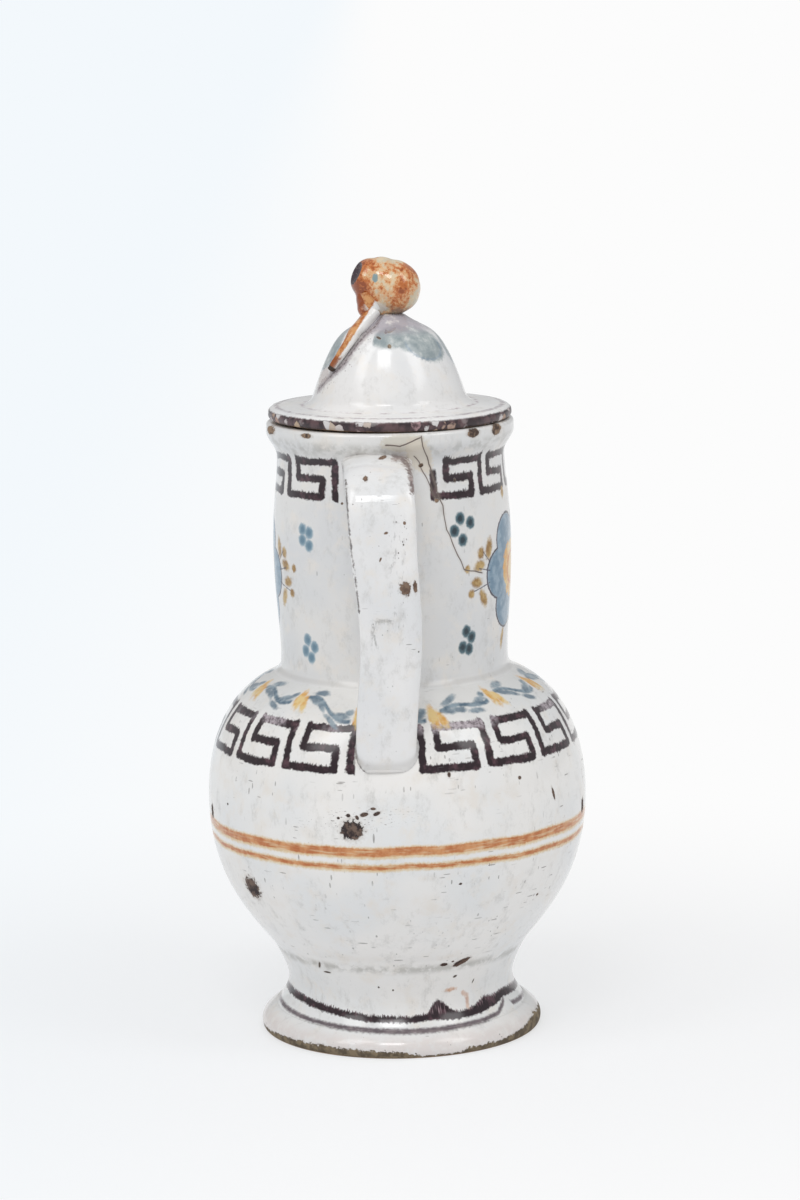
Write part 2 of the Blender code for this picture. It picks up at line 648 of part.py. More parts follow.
def build_lid(axis):
    """Make the lid, its locating ring, the fruit and the twig."""
    height = axis.location.z
    lid_glaze = fired_material("lid_glaze", GLAZE_WHITE, 0.18)
    ring_clay = fired_material("ring_clay", BARE_CLAY, 0.85)
    fruit_glaze = fired_material("fruit_glaze", FRUIT_ORANGE, 0.25)
    twig_glaze = fired_material("twig_glaze", TWIG_OCHRE, 0.28)
    piece("lid", turned_mesh("lid", lid_loop(), height, TURNING_STEPS), lid_glaze,
          (0, 0, height), axis)
    piece("lid_locating_ring", turned_mesh("ring", ring_loop(), height, TURNING_STEPS),
          ring_clay, (0, 0, height), axis)

    grown = dome_outline(-CLEARANCE, DOME_STEPS)
    dome_fill = [Vector((0.0, grown[0].y))] + grown
    dome_cutter = cutter("dome_cutter", turned_mesh("dome_cutter", dome_fill, 0.0, TURNING_STEPS),
                         (0, 0, 0), axis)
    crown = height + DOME_HEIGHT + CROWN_RISE
    tilt = math.radians(FRUIT_TILT)
    middle = FRUIT_LENGTH - FRUIT_FULL_PLACE
    centre = Vector((0.0, FRUIT_SIDE_SHIFT, crown + FRUIT_RADIUS - FRUIT_SUNK))
    blossom = centre - Vector((0.0, math.cos(tilt), -math.sin(tilt))) * middle
    turn = math.radians(-90.0) - tilt
    fruit = piece("knob_fruit", turned_mesh("fruit", fruit_loop(0.0), 0.0, FRUIT_STEPS),
                  fruit_glaze, blossom, axis)
    fruit.rotation_euler.x = turn
    trim(fruit, dome_cutter)
    fruit_cutter = cutter("fruit_cutter",
                          turned_mesh("fruit_cutter", fruit_loop(CLEARANCE), 0.0, FRUIT_STEPS),
                          blossom, axis)
    fruit_cutter.rotation_euler.x = turn
    twig = piece("knob_twig", twig_mesh(), twig_glaze, (0, 0, 0), axis)
    trim(twig, dome_cutter)
    trim(twig, fruit_cutter)


def main():
    """Clear the scene and build the vase and its lid."""
    for item in list(bpy.data.objects):
        bpy.data.objects.remove(item, do_unlink=True)
    build_body(frame_empty("vase_axis", 0.0))
    build_lid(frame_empty("lid_axis", lid_base()))
    print("height of the lid's crown", round(lid_base() + DOME_HEIGHT + CROWN_RISE, 4))


main()
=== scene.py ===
"""Lidded two-handled vase of tin-glazed earthenware, dressed in its glaze, brushwork and wear.

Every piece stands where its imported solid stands: the axis on Z, the straps on the X axis and
the foot on z = 0. Shapes are in metres, and the paint is laid out in millimetres and degrees.
"""
import logging
import math
from bisect import bisect_left
from dataclasses import dataclass, field
from enum import Enum
from functools import reduce
from typing import Callable, Iterable, Optional, Sequence, Union

import bmesh
import bpy
from mathutils import Matrix, Vector, noise


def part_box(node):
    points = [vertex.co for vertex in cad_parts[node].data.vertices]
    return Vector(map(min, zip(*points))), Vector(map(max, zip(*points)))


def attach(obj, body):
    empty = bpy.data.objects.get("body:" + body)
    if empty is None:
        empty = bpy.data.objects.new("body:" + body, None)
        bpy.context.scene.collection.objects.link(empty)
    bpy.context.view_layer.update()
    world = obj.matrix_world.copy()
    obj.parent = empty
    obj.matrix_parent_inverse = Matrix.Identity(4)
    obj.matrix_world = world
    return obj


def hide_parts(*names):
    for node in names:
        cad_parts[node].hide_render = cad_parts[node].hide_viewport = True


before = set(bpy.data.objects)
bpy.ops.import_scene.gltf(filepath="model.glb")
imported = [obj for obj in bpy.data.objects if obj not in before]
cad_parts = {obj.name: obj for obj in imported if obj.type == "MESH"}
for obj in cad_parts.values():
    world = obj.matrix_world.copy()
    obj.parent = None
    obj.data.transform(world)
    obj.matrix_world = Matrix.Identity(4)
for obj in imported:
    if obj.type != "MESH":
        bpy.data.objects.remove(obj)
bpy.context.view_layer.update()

RGB = tuple[float, float, float]
Pair = tuple[float, float]
Place = tuple[float, float, float]
Part = Union["Value", float, tuple]
Colour = Union["Value", RGB]
Spots = Sequence[tuple[float, ...]]
Outline = list[Vector]

LOG = logging.getLogger("vase")


class Side(Enum):
    """The side of the vase that a strap is on, with its turn about the axis in degrees."""

    NEAR = 0.0
    FAR = 180.0


class Body(Enum):
    """The moving bodies of the frame."""

    VASE = "vase"
    RING = "lid_ring"
    LID = "lid"


# ---------------------------------------------------------------- shader maths


def tone(red: int, green: int, blue: int) -> RGB:
    """Turn a colour as seen, with parts from 0 to 255, into the linear one of a shader.

    Args:
        red: Red part.
        green: Green part.
        blue: Blue part.

    Returns:
        The linear colour.
    """
    shares = (red / 255.0, green / 255.0, blue / 255.0)
    return tuple(share / 12.92 if share <= 0.04045 else ((share + 0.055) / 1.055) ** 2.4
                 for share in shares)


class Value:
    """A shader socket in an expression: each operator adds a Math or Vector Math node."""

    def __init__(self, bench: "Bench", socket: bpy.types.NodeSocket, wide: bool = False) -> None:
        """Wrap a socket.

        Args:
            bench: The material's bench.
            socket: The output socket.
            wide: True for a vector.
        """
        self.bench = bench
        self.socket = socket
        self.wide = wide

    def __add__(self, other: Part) -> "Value":
        """Return self + other."""
        return self.bench.maths("ADD", self, other)

    __radd__ = __add__

    def __sub__(self, other: Part) -> "Value":
        """Return self - other."""
        return self.bench.maths("SUBTRACT", self, other)

    def __rsub__(self, other: Part) -> "Value":
        """Return other - self."""
        return self.bench.maths("SUBTRACT", other, self)

    def __mul__(self, other: Part) -> "Value":
        """Return self * other."""
        return self.bench.maths("MULTIPLY", self, other)

    __rmul__ = __mul__

    def __truediv__(self, other: Part) -> "Value":
        """Return self / other."""
        return self.bench.maths("DIVIDE", self, other)

    def __mod__(self, other: Part) -> "Value":
        """Return the rest of self / other, never below zero."""
        return self.bench.maths("FLOORED_MODULO", self, other)

    def __abs__(self) -> "Value":
        """Return the size of self without its sign."""
        return self.bench.maths("ABSOLUTE", self)


def least(parts: Iterable[Value]) -> Value:
    """Return the smallest of several parts."""
    return reduce(lambda low, part: low.bench.maths("MINIMUM", low, part), parts)


def most(parts: Iterable[Value]) -> Value:
    """Return the largest of several parts."""
    return reduce(lambda high, part: high.bench.maths("MAXIMUM", high, part), parts)


class Bench:
    """A material's node tree and the few ways in which nodes are added to it."""

    def __init__(self, name: str) -> None:
        """Make the material.

        Args:
            name: The material's name.
        """
        self.material = bpy.data.materials.new(name)
        self.material.use_nodes = True
        self.tree = self.material.node_tree
        self.shader = self.tree.nodes["Principled BSDF"]

    def node(self, kind: str, settings: Optional[dict] = None,
             sockets: Optional[dict] = None) -> bpy.types.Node:
        """Add a node.

        Args:
            kind: The node's type.
            settings: The node's own settings; "stops" fills a ramp.
            sockets: Values or links of the input sockets, by name or number.

        Returns:
            The node.
        """
        made = self.tree.nodes.new(kind)
        for key, setting in (settings or {}).items():
            if key == "stops":
                self.fill_ramp(made.color_ramp, setting)
            else:
                setattr(made, key, setting)
        for key, entry in (sockets or {}).items():
            self.feed(made.inputs[key], entry)
        return made

    def feed(self, target: bpy.types.NodeSocket, entry: Union[Part, bpy.types.NodeSocket]) -> None:
        """Link or set one input socket.

        Args:
            target: The input socket.
            entry: Its value or link.
        """
        if isinstance(entry, Value):
            entry = entry.socket
        if isinstance(entry, bpy.types.NodeSocket):
            self.tree.links.new(entry, target)
        elif target.type == "RGBA" and len(entry) == 3:
            target.default_value = (*entry, 1.0)
        else:
            target.default_value = entry

    def fill_ramp(self, ramp: bpy.types.ColorRamp, stops: Sequence[tuple[float, RGB]]) -> None:
        """Give a ramp its stops, each a place and a colour.

        Args:
            ramp: The ramp.
            stops: Its stops.
        """
        while len(ramp.elements) < len(stops):
            ramp.elements.new(1.0)
        for element, (place, colour) in zip(ramp.elements, stops):
            element.position = place
            element.color = (*colour, 1.0)

    def maths(self, operation: str, *parts: Part, clamp: bool = False) -> Value:
        """Add a Math node, or a Vector Math node where a part is a vector.

        Args:
            operation: The node's operation.
            parts: Its operands.
            clamp: Keep a number between 0 and 1.

        Returns:
            The result.
        """
        wide = any(isinstance(part, tuple) or getattr(part, "wide", False) for part in parts)
        if not wide:
            made = self.node("ShaderNodeMath", {"operation": operation, "use_clamp": clamp},
                             dict(enumerate(parts)))
            return Value(self, made.outputs[0])
        filled = [(part,) * 3 if isinstance(part, (int, float)) else part for part in parts]
        made = self.node("ShaderNodeVectorMath", {"operation": operation}, dict(enumerate(filled)))
        narrow = operation in ("LENGTH", "DOT_PRODUCT", "DISTANCE")
        return Value(self, made.outputs[1 if narrow else 0], not narrow)

    def plane(self, across: Part, along: Part) -> Value:
        """Return a flat place from two numbers."""
        made = self.node("ShaderNodeCombineXYZ", {}, {0: across, 1: along})
        return Value(self, made.outputs[0], True)

    def smooth(self, value: Part, low: Part, high: Part, start: float = 0.0,
               end: float = 1.0) -> Value:
        """Return a soft step from start to end while a value goes from low to high.

        Args:
            value: The value.
            low: Where the step starts.
            high: Where it ends.
            start: The result before it.
            end: The result after it.

        Returns:
            The step.
        """
        made = self.node("ShaderNodeMapRange", {"interpolation_type": "SMOOTHSTEP"},
                         {0: value, 1: low, 2: high, 3: start, 4: end})
        return Value(self, made.outputs[0])

    def blend(self, share: Part, first: Colour, second: Colour) -> Value:
        """Return a mix of two colours."""
        made = self.node("ShaderNodeMix", {"data_type": "RGBA"}, {0: share, 6: first, 7: second})
        return Value(self, made.outputs[2], True)

    def grain(self, place: Value, size: float, detail: float = 2.0, roughness: float = 0.5,
              warp: float = 0.0) -> Value:
        """Return noise from 0 to 1 with features of a size in millimetres.

        Args:
            place: The place.
            size: The features' size.
            detail: Number of finer layers.
            roughness: How strong they are.
            warp: How far the pattern is bent.

        Returns:
            The noise.
        """
        made = self.node("ShaderNodeTexNoise", {}, {
            "Vector": place, "Scale": 1.0 / size, "Detail": detail, "Roughness": roughness,
            "Distortion": warp})
        return Value(self, made.outputs[0])

    def cells(self, place: Value, size: float) -> tuple[Value, Value]:
        """Return how far the nearest of many scattered points is, in cells, and its own number.

        Args:
            place: The place.
            size: The cells' size.

        Returns:
            The distance and the number.
        """
        made = self.node("ShaderNodeTexVoronoi", {}, {"Vector": place, "Scale": 1.0 / size})
        parts = self.node("ShaderNodeSeparateColor", {}, {0: made.outputs["Color"]})
        return Value(self, made.outputs["Distance"]), Value(self, parts.outputs[0])

    def oval(self, plane: Value, centre: Pair, size: Pair, turn: float = 0.0) -> Value:
        """Return the distance from an oval's middle, 1 on its edge.

        Args:
            plane: The flat place.
            centre: The oval's middle.
            size: Its half sizes.
            turn: Its turn in degrees.

        Returns:
            The distance share.
        """
        offset = plane - (*centre, 0.0)
        cosine, sine = math.cos(math.radians(turn)), math.sin(math.radians(turn))
        along = self.maths("DOT_PRODUCT", offset, (cosine / size[0], sine / size[0], 0.0))
        across = self.maths("DOT_PRODUCT", offset, (-sine / size[1], cosine / size[1], 0.0))
        return self.maths("LENGTH", self.plane(along, across))

    def bar(self, plane: Value, centre: Pair, half: Pair, grown: Value) -> Value:
        """Return the distance to a bar whose half sizes are grown, in the plane's own units."""
        away = abs(plane - (*centre, 0.0)) - (*half, 0.0) - grown
        return self.maths("LENGTH", self.maths("MAXIMUM", away, 0.0))

    def line(self, plane: Value, start: Pair, end: Pair) -> Value:
        """Return the distance to a straight line between two places.

        Args:
            plane: The flat place.
            start: One end.
            end: The other end.

        Returns:
            The distance.
        """
        reach = (end[0] - start[0], end[1] - start[1], 0.0)
        size = max(reach[0] ** 2 + reach[1] ** 2, 1e-9)
        offset = plane - (*start, 0.0)
        share = self.maths("DOT_PRODUCT", offset, tuple(part / size for part in reach))
        share = self.maths("MULTIPLY", share, 1.0, clamp=True)
        made = self.node("ShaderNodeVectorMath", {"operation": "SCALE"},
                         {0: reach, "Scale": share})
        return self.maths("LENGTH", offset - Value(self, made.outputs[0], True))

    def path(self, plane: Value, points: Sequence[Pair]) -> Value:
        """Return the distance to a line through several places."""
        return least(self.line(plane, near, far) for near, far in zip(points, points[1:]))

    def curve(self, value: Value, points: Sequence[Pair]) -> Value:
        """Return the height of a drawn curve over a value.

        Args:
            value: The place along the curve.
            points: The curve's points, each a place and a height.

        Returns:
            The height.
        """
        first, last = points[0][0], points[-1][0]
        low = min(height for _, height in points)
        span = max(height for _, height in points) - low
        stops = [((place - first) / (last - first), ((height - low) / span,) * 3)
                 for place, height in points]
        ramp = self.node("ShaderNodeValToRGB", {"stops": stops},
                         {0: (value - first) / (last - first)})
        parts = self.node("ShaderNodeSeparateColor", {}, {0: ramp.outputs[0]})
        return Value(self, parts.outputs[0]) * span + low


# ---------------------------------------------------------------- finishes


@dataclass(frozen=True)
class Brush:
    """A pigment brushed on the raw glaze: strong where it pooled and thin at its edge."""

    full: RGB
    thin: RGB
    feather: float = 0.35
    ragged: float = 0.5
    pooled: Pair = (0.34, 0.62)


MANGANESE = Brush(tone(42, 27, 33), tone(90, 62, 70), 0.35, 1.2, (0.28, 0.52))
BLUE_GREY = Brush(tone(104, 134, 156), tone(146, 168, 184), 0.5, 0.6)
TEAL = Brush(tone(34, 54, 64), tone(92, 122, 132), 0.7, 0.6)
PALE_TEAL = Brush(tone(104, 134, 152), tone(152, 174, 186), 0.8, 0.6)
OCHRE = Brush(tone(150, 112, 58), tone(198, 168, 112), 0.5, 0.8, (0.36, 0.62))
YELLOW = Brush(tone(218, 158, 66), tone(230, 200, 136), 0.6, 0.9, (0.40, 0.66))
LEAF_GREY = Brush(tone(92, 114, 130), tone(146, 162, 172), 0.5, 0.6)
OUTLINE = Brush(tone(44, 42, 58), tone(78, 76, 92), 0.22, 0.35)
RUST = Brush(tone(186, 128, 96), tone(222, 188, 164), 0.5, 1.0)


class Surface(Bench):
    """A piece's surface while it is painted, in millimetres and degrees about the vase's axis."""

    def __init__(self, name: str) -> None:
        """Make the material and read the place.

        Args:
            name: The material's name.
        """
        super().__init__(name)
        coordinates = self.node("ShaderNodeTexCoord").outputs["Object"]
        self.place = Value(self, coordinates, True) * 1000.0
        parts = self.node("ShaderNodeSeparateXYZ", {}, {0: self.place})
        self.x, self.y, self.z = (Value(self, socket) for socket in parts.outputs)
        self.radius = self.maths("LENGTH", self.place * (1.0, 1.0, 0.0))
        self.turn = self.maths("ARCTAN2", self.y, self.x) * math.degrees(1.0)

    def ground(self, colour: Colour, roughness: Value, relief: Value) -> None:
        """Start with a ground, its relief in millimetres."""
        self.colour, self.roughness, self.relief = colour, roughness, relief

    def vary(self) -> None:
        """Read the unevenness that all strokes share."""
        self.rough = self.grain(self.place, 1.2, 3.0, 0.62) - 0.5
        self.combed = self.grain(self.plane(self.turn * 2.7, self.z * 0.16), 1.0, 1.0) - 0.5
        self.pool = self.grain(self.place + (31.0, 5.0, 2.0), 4.2, 3.0, 0.6)
        self.wander = self.plane(self.grain(self.place, 7.0, 1.0) - 0.5,
                                 self.grain(self.place + (50.0, 9.0, 4.0), 7.0, 1.0) - 0.5)

    def lay(self, mask: Value, colour: Optional[Colour] = None,
            roughness: Optional[float] = None, relief: float = 0.0) -> None:
        """Lay a coat where a mask is 1.

        Args:
            mask: Where the coat lies.
            colour: Its colour, or None to keep the one below.
            roughness: Its roughness, or None to keep the one below.
            relief: How far it stands up, or sinks where negative.
        """
        if colour is not None:
            self.colour = self.blend(mask, self.colour, colour)
        if roughness is not None:
            self.roughness = self.roughness + mask * (roughness - self.roughness)
        if relief:
            self.relief = self.relief + mask * relief

    def stroke(self, distance: Value, half: Part, brush: Brush, strength: Part = 1.0) -> None:
        """Paint where a distance is under half a stroke's width.

        Args:
            distance: The distance to the stroke's middle.
            half: Half the stroke's width.
            brush: The pigment.
            strength: How strongly it covers.
        """
        edge = distance + self.rough * (brush.ragged * 1.6)
        mask = self.smooth(edge - half, brush.feather, -brush.feather) * strength
        depth = self.smooth(self.pool, *brush.pooled)
        self.lay(mask, self.blend(depth, brush.thin, brush.full))

    def spots(self, plane: Value, step: float, shapes: Spots) -> Value:
        """Return how far the nearest oval is, each given by its place, half sizes and turn."""
        return least(self.oval(plane, (across * step, up), (wide, tall), *turn)
                     for across, up, wide, tall, *turn in shapes)

    def ovals(self, plane: Value, step: float, shapes: Spots, brush: Brush,
              strength: Part = 1.0) -> None:
        """Paint several ovals, given as for spots, with places across in steps."""
        size = min(min(shape[2:4]) for shape in shapes)
        self.stroke((self.spots(plane, step, shapes) - 1.0) * size, 0.0, brush, strength)

    def chips(self, plane: Value, step: float, shapes: Spots, colours: tuple[RGB, RGB],
              depth: float, ragged: float) -> None:
        """Break the glaze away in several ovals, down to the clay with dirt in it.

        Args:
            plane: The flat place.
            step: The length of a step across.
            shapes: The ovals, as for spots.
            colours: The clay and the dirt.
            depth: How deep the chips are.
            ragged: How uneven their edges are.
        """
        share = self.spots(plane, step, shapes) + self.rough * ragged
        self.lay(self.smooth(share, 1.45, 0.95) * 0.45, tone(196, 186, 176), 0.4)
        dirt = self.smooth(self.pool + self.rough * 0.5, 0.40, 0.60)
        self.lay(self.smooth(share, 1.0, 0.86), self.blend(dirt, *colours), 0.8, -depth)

    def crack(self, plane: Value, points: Sequence[Pair], half: float = 0.11) -> None:
        """Draw a hairline crack.

        Args:
            plane: The flat place.
            points: The places that it runs through.
            half: Half its width.
        """
        distance = self.path(plane + self.wander * 1.5, points)
        width = self.pool * 0.12 + (half - 0.04)
        self.lay(self.smooth(distance - width, 0.14, 0.0), tone(84, 70, 66), 0.6, -0.12)
        self.lay(self.smooth(distance, 1.3, 0.1) * 0.22, tone(186, 172, 160))

    def finish(self) -> bpy.types.Material:
        """Feed the shader and return the material.

        Returns:
            The material.
        """
        bump = self.node("ShaderNodeBump", {}, {
            "Strength": 1.0, "Distance": 0.001, "Height": self.relief})
        for name, entry in (("Base Color", self.colour), ("Roughness", self.roughness),
                            ("Normal", bump.outputs[0])):
            self.feed(self.shader.inputs[name], entry)
        return self.material


@dataclass(frozen=True)
class TinGlaze:
    """Greyish white tin glaze with soft stains, pinholes and short scratches."""

    light: RGB = tone(243, 240, 236)
    cool: RGB = tone(235, 235, 234)
    warm: RGB = tone(237, 230, 221)
    grime: RGB = tone(178, 175, 169)
    speck: RGB = tone(84, 74, 68)
    gloss: float = 0.13
    speckle: float = 0.5
    scratch: float = 0.5

    def ground(self, on: Surface) -> None:
        """Lay the bare glaze, ready to be painted.

        Args:
            on: The surface.
        """
        broad = on.grain(on.place, 34.0, 2.0)
        cloud = on.grain(on.place, 9.0, 4.0, 0.6)
        colour = on.blend(on.smooth(broad, 0.36, 0.66), self.light, self.cool)
        colour = on.blend(on.smooth(cloud, 0.48, 0.76, 0.0, 0.7), colour, self.warm)
        stain = on.grain(on.place * (1.0, 1.0, 0.6), 6.5, 7.0, 0.76)
        colour = on.blend(on.smooth(stain, 0.50, 0.74, 0.0, 0.42), colour, self.grime)
        relief = broad * 0.55 + on.grain(on.place, 7.0, 2.0) * 0.06
        on.ground(colour, cloud * 0.10 + (self.gloss - 0.03), relief)
        self.wear(on)

    def wear(self, on: Surface) -> None:
        """Add pinholes and short scratches filled with dirt.

        Args:
            on: The surface.
        """
        patches = on.smooth(on.grain(on.place, 15.0, 2.0), 0.42, 0.62)
        distance, number = on.cells(on.place, 2.1)
        size = (number - (1.0 - 0.5 * self.speckle)) * 0.42
        hole = on.smooth(size - distance, 0.0, 0.05) * (patches * 0.8 + 0.2)
        on.lay(hole, self.speck, 0.7, -0.05)
        ragged = on.grain(on.place, 0.9, 2.0) * 0.13
        for stretch, size_mm in (((1.0, 1.0, 7.0), 6.0), ((2.6, 2.6, 0.5), 3.0)):
            tilted = on.place * stretch + (3.0, 7.0, 0.0)
            distance, number = on.cells(tilted, size_mm)
            size = (number - (1.0 - 0.32 * self.scratch)) * 1.7
            dash = on.smooth(size - distance - ragged, 0.0, 0.05) * patches
            on.lay(dash * 0.6, self.speck, 0.7, -0.04)

    def material(self, name: str) -> bpy.types.Material:
        """Return the finish as a material.

        Args:
            name: The material's name.

        Returns:
            The material.
        """
        on = Surface(name)
        self.ground(on)
        on.vary()
        self.paint(on)
        return on.finish()

    def paint(self, on: Surface) -> None:
        """Leave the glaze white; a painted finish does its brushwork here."""


@dataclass(frozen=True)
class BareClay:
    """Fired clay without glaze."""

    light: RGB = tone(170, 140, 108)
    dark: RGB = tone(118, 92, 70)

    def material(self, name: str) -> bpy.types.Material:
        """Return the clay as a material.

        Args:
            name: The material's name.

        Returns:
            The material.
        """
        on = Surface(name)
        cloud = on.grain(on.place, 8.0, 4.0, 0.6)
        grit = on.grain(on.place, 0.9, 3.0, 0.6)
        rings = on.grain(on.place * (0.05, 0.05, 1.0), 1.1, 2.0)
        colour = on.blend(on.smooth(cloud, 0.35, 0.68), self.dark, self.light)
        colour = on.blend(on.smooth(grit, 0.62, 0.78, 0.0, 0.5), colour, tone(70, 52, 42))
        on.ground(colour, cloud * 0.15 + 0.75, grit * 0.10 + rings * 0.12)
        return on.finish()


@dataclass(frozen=True)
class KeyBand:
    """A running key: upright, foot stroke, riser, tongue, hook and top stroke in each repeat."""

    width: float
    height: float
    half: float = 1.2
    riser: float = 0.77
    hook: float = 0.25
    level: float = 0.48
    teeth: float = 1.7

    def distance(self, on: Surface, across: Value, height: Value) -> Value:
        """Return the distance to the key's strokes in millimetres.

        Args:
            on: The surface.
            across: The place in the repeat, from 0 to 1.
            height: The height over the band's lower stroke.

        Returns:
            The distance.
        """
        wide, tall = self.width, self.height
        teeth = on.maths("MAXIMUM", on.combed * self.teeth, 0.0)
        grown = on.plane(0.0, teeth)
        place = on.plane(across * wide, height - teeth) + on.wander * (1.6, 1.6, 0.0)
        riser, hook, level = self.riser * wide, self.hook * wide, self.level * tall
        strokes = ((0.0, 0.0, 0.0, tall), (wide, wide, 0.0, tall), (0.0, riser, 0.0, 0.0),
                   (riser, riser, 0.0, level), (hook, riser, level, level),
                   (hook, hook, level, tall), (hook, wide, tall - 0.6, tall - 0.6))
        bars = [(((left + right) / 2.0, (low + high) / 2.0),
                 ((right - left) / 2.0, (high - low) / 2.0))
                for left, right, low, high in strokes]
        return least(on.bar(place, centre, half, grown) for centre, half in bars)


@dataclass(frozen=True)
class NeckGlaze(TinGlaze):
    """The collar: a running key under the lip, a flower on each side, dots and cracks."""

    degree: float = 0.79
    key_low: float = 213.4
    # The collar's white is a darker copy of the glaze, as painted shade over the collar.
    light: RGB = tone(232, 230, 227)
    cool: RGB = tone(223, 223, 223)
    key: KeyBand = KeyBand(22.7, 13.4, 1.4)
    right_start: float = 21.0
    right_repeat: float = 28.75
    left_start: float = -158.5
    left_repeat: float = 32.5
    flower_turn: float = 81.5
    flower_height: float = 181.0
    petal_ring: float = 14.0
    petal_radius: float = 9.9

    def paint(self, on: Surface) -> None:
        """Paint the collar.

        Args:
            on: The surface.
        """
        self.stains(on)
        self.running_key(on)
        self.flowers(on)
        self.dots(on)
        self.damage(on)

    def stains(self, on: Surface) -> None:
        """Grey the glaze under the lip, yellow the repaired stretch by the near strap and paint
        shade in the hollow at the neck's base.

        Args:
            on: The surface.
        """
        under = on.smooth(abs(on.z - 231.5), 4.5, 0.5)
        smudge = on.smooth(on.pool, 0.42, 0.62)
        on.lay(under * smudge * 0.42, tone(168, 166, 158))
        plane = on.plane(on.turn * self.degree, on.z)
        share = on.oval(plane, (5.0, 234.6), (8.5, 3.4)) + on.rough * 0.8
        on.lay(on.smooth(share, 1.1, 0.9) * 0.7, tone(208, 202, 186), 0.5)
        share = on.oval(plane, (11.0, 229.5), (4.2, 8.0), 32.0) + on.rough * 0.7
        on.lay(on.smooth(share, 1.1, 0.9) * 0.8, tone(220, 210, 194), 0.5, 0.05)
        # Painted shade in the hollow where the neck meets the shoulder.
        crease_shade = on.smooth(abs(on.z - 142.4), 1.5, 0.2)
        on.lay(crease_shade * 0.30, tone(176, 172, 166))

    def running_key(self, on: Surface) -> None:
        """Paint the key, a little wider on the left side than on the right.

        Args:
            on: The surface.
        """
        right = on.maths("GREATER_THAN", on.turn, 0.0)
        raw = on.node("ShaderNodeMix", {"data_type": "FLOAT"}, {
            0: right, 2: (on.turn - self.left_start) / self.left_repeat,
            3: (on.turn - self.right_start) / self.right_repeat})
        raw = Value(on, raw.outputs[0])
        height = on.z - self.key_low
        inside = on.smooth(raw, -0.075, -0.055) * on.smooth(raw - right, 4.075, 4.055)
        lost = on.smooth(abs(raw), 0.14, 0.10) * on.smooth(height, 9.5, 11.0) * right
        distance = self.key.distance(on, raw % 1.0, height)
        on.stroke(distance, self.key.half, MANGANESE, inside * (1.0 - lost))

    def flowers(self, on: Surface) -> None:
        """Paint the six-petalled flower of each side with its fan of ochre leaves.

        Args:
            on: The surface.
        """
        away = (on.turn - self.flower_turn + 90.0) % 180.0 - 90.0
        across = away * self.degree
        fan, step = on.plane(abs(across), on.z), self.degree
        on.ovals(fan, step, [
            (28.6, 191.4, 1.9, 4.0, 12.0), (34.6, 190.2, 1.8, 2.2, 20.0),
            (35.6, 185.4, 2.9, 2.0, -14.0), (43.6, 184.9, 1.3, 1.5), (37.6, 179.2, 2.8, 1.9, 16.0),
            (32.6, 172.8, 1.8, 3.7, -28.0), (41.0, 175.2, 1.5, 1.7), (11.0, 211.0, 1.4, 2.2, 12.0),
            (12.0, 155.0, 1.5, 4.2, 14.0)], OCHRE)
        middle = on.plane(across, on.z - self.flower_height)
        turn = on.maths("ARCTAN2", on.z - self.flower_height, across)
        sector = (turn + math.pi / 6.0) % (math.pi / 3.0) - math.pi / 6.0
        reach = on.maths("LENGTH", middle) + on.rough * 0.7
        petal = on.plane(reach * on.maths("COSINE", sector) - self.petal_ring,
                         reach * on.maths("SINE", sector))
        span = on.maths("LENGTH", petal)
        on.stroke(span, self.petal_radius - 0.2, BLUE_GREY)
        on.stroke(reach, on.pool * 7.0 + 7.5, YELLOW)
        on.stroke(abs(reach - 6.0), 0.5, Brush(tone(196, 108, 48), tone(214, 140, 76)))
        on.stroke(abs(span - self.petal_radius), 0.40, OUTLINE, on.smooth(reach, 11.5, 12.5))
        for tip_turn, tip in ((33.0, 190.4), (36.0, 184.4), (39.0, 176.0)):
            root = (28.0 * step, 181.0 + (tip - 181.0) * 0.55)
            on.stroke(on.path(fan, [root, (tip_turn * step, tip)]), 0.18, OUTLINE)

    def dots(self, on: Surface) -> None:
        """Paint the groups of four dots beside the straps.

        Args:
            on: The surface.
        """
        side = (on.turn + 90.0) % 180.0 - 90.0
        plane = on.plane(side * self.degree, on.z)
        dark = [(31.0, 200.0), (34.5, 204.5), (40.5, 202.5), (35.5, 196.3), (38.0, 161.0),
                (41.5, 158.5), (36.0, 155.0), (40.0, 154.0)]
        pale = [(-48.0, 200.5), (-43.5, 199.5), (-48.0, 196.5), (-43.5, 194.6), (-48.0, 158.0),
                (-43.5, 155.5), (-50.0, 153.5), (-46.0, 151.2)]
        for places, brush in ((dark, TEAL), (pale, PALE_TEAL)):
            share = on.spots(plane, self.degree, [(*place, 2.3, 2.6) for place in places])
            share = share + on.rough * 0.5
            heart = on.smooth(share, 0.95, 0.25)
            on.lay(on.smooth(share, 1.15, 0.72), on.blend(heart, brush.thin, brush.full))

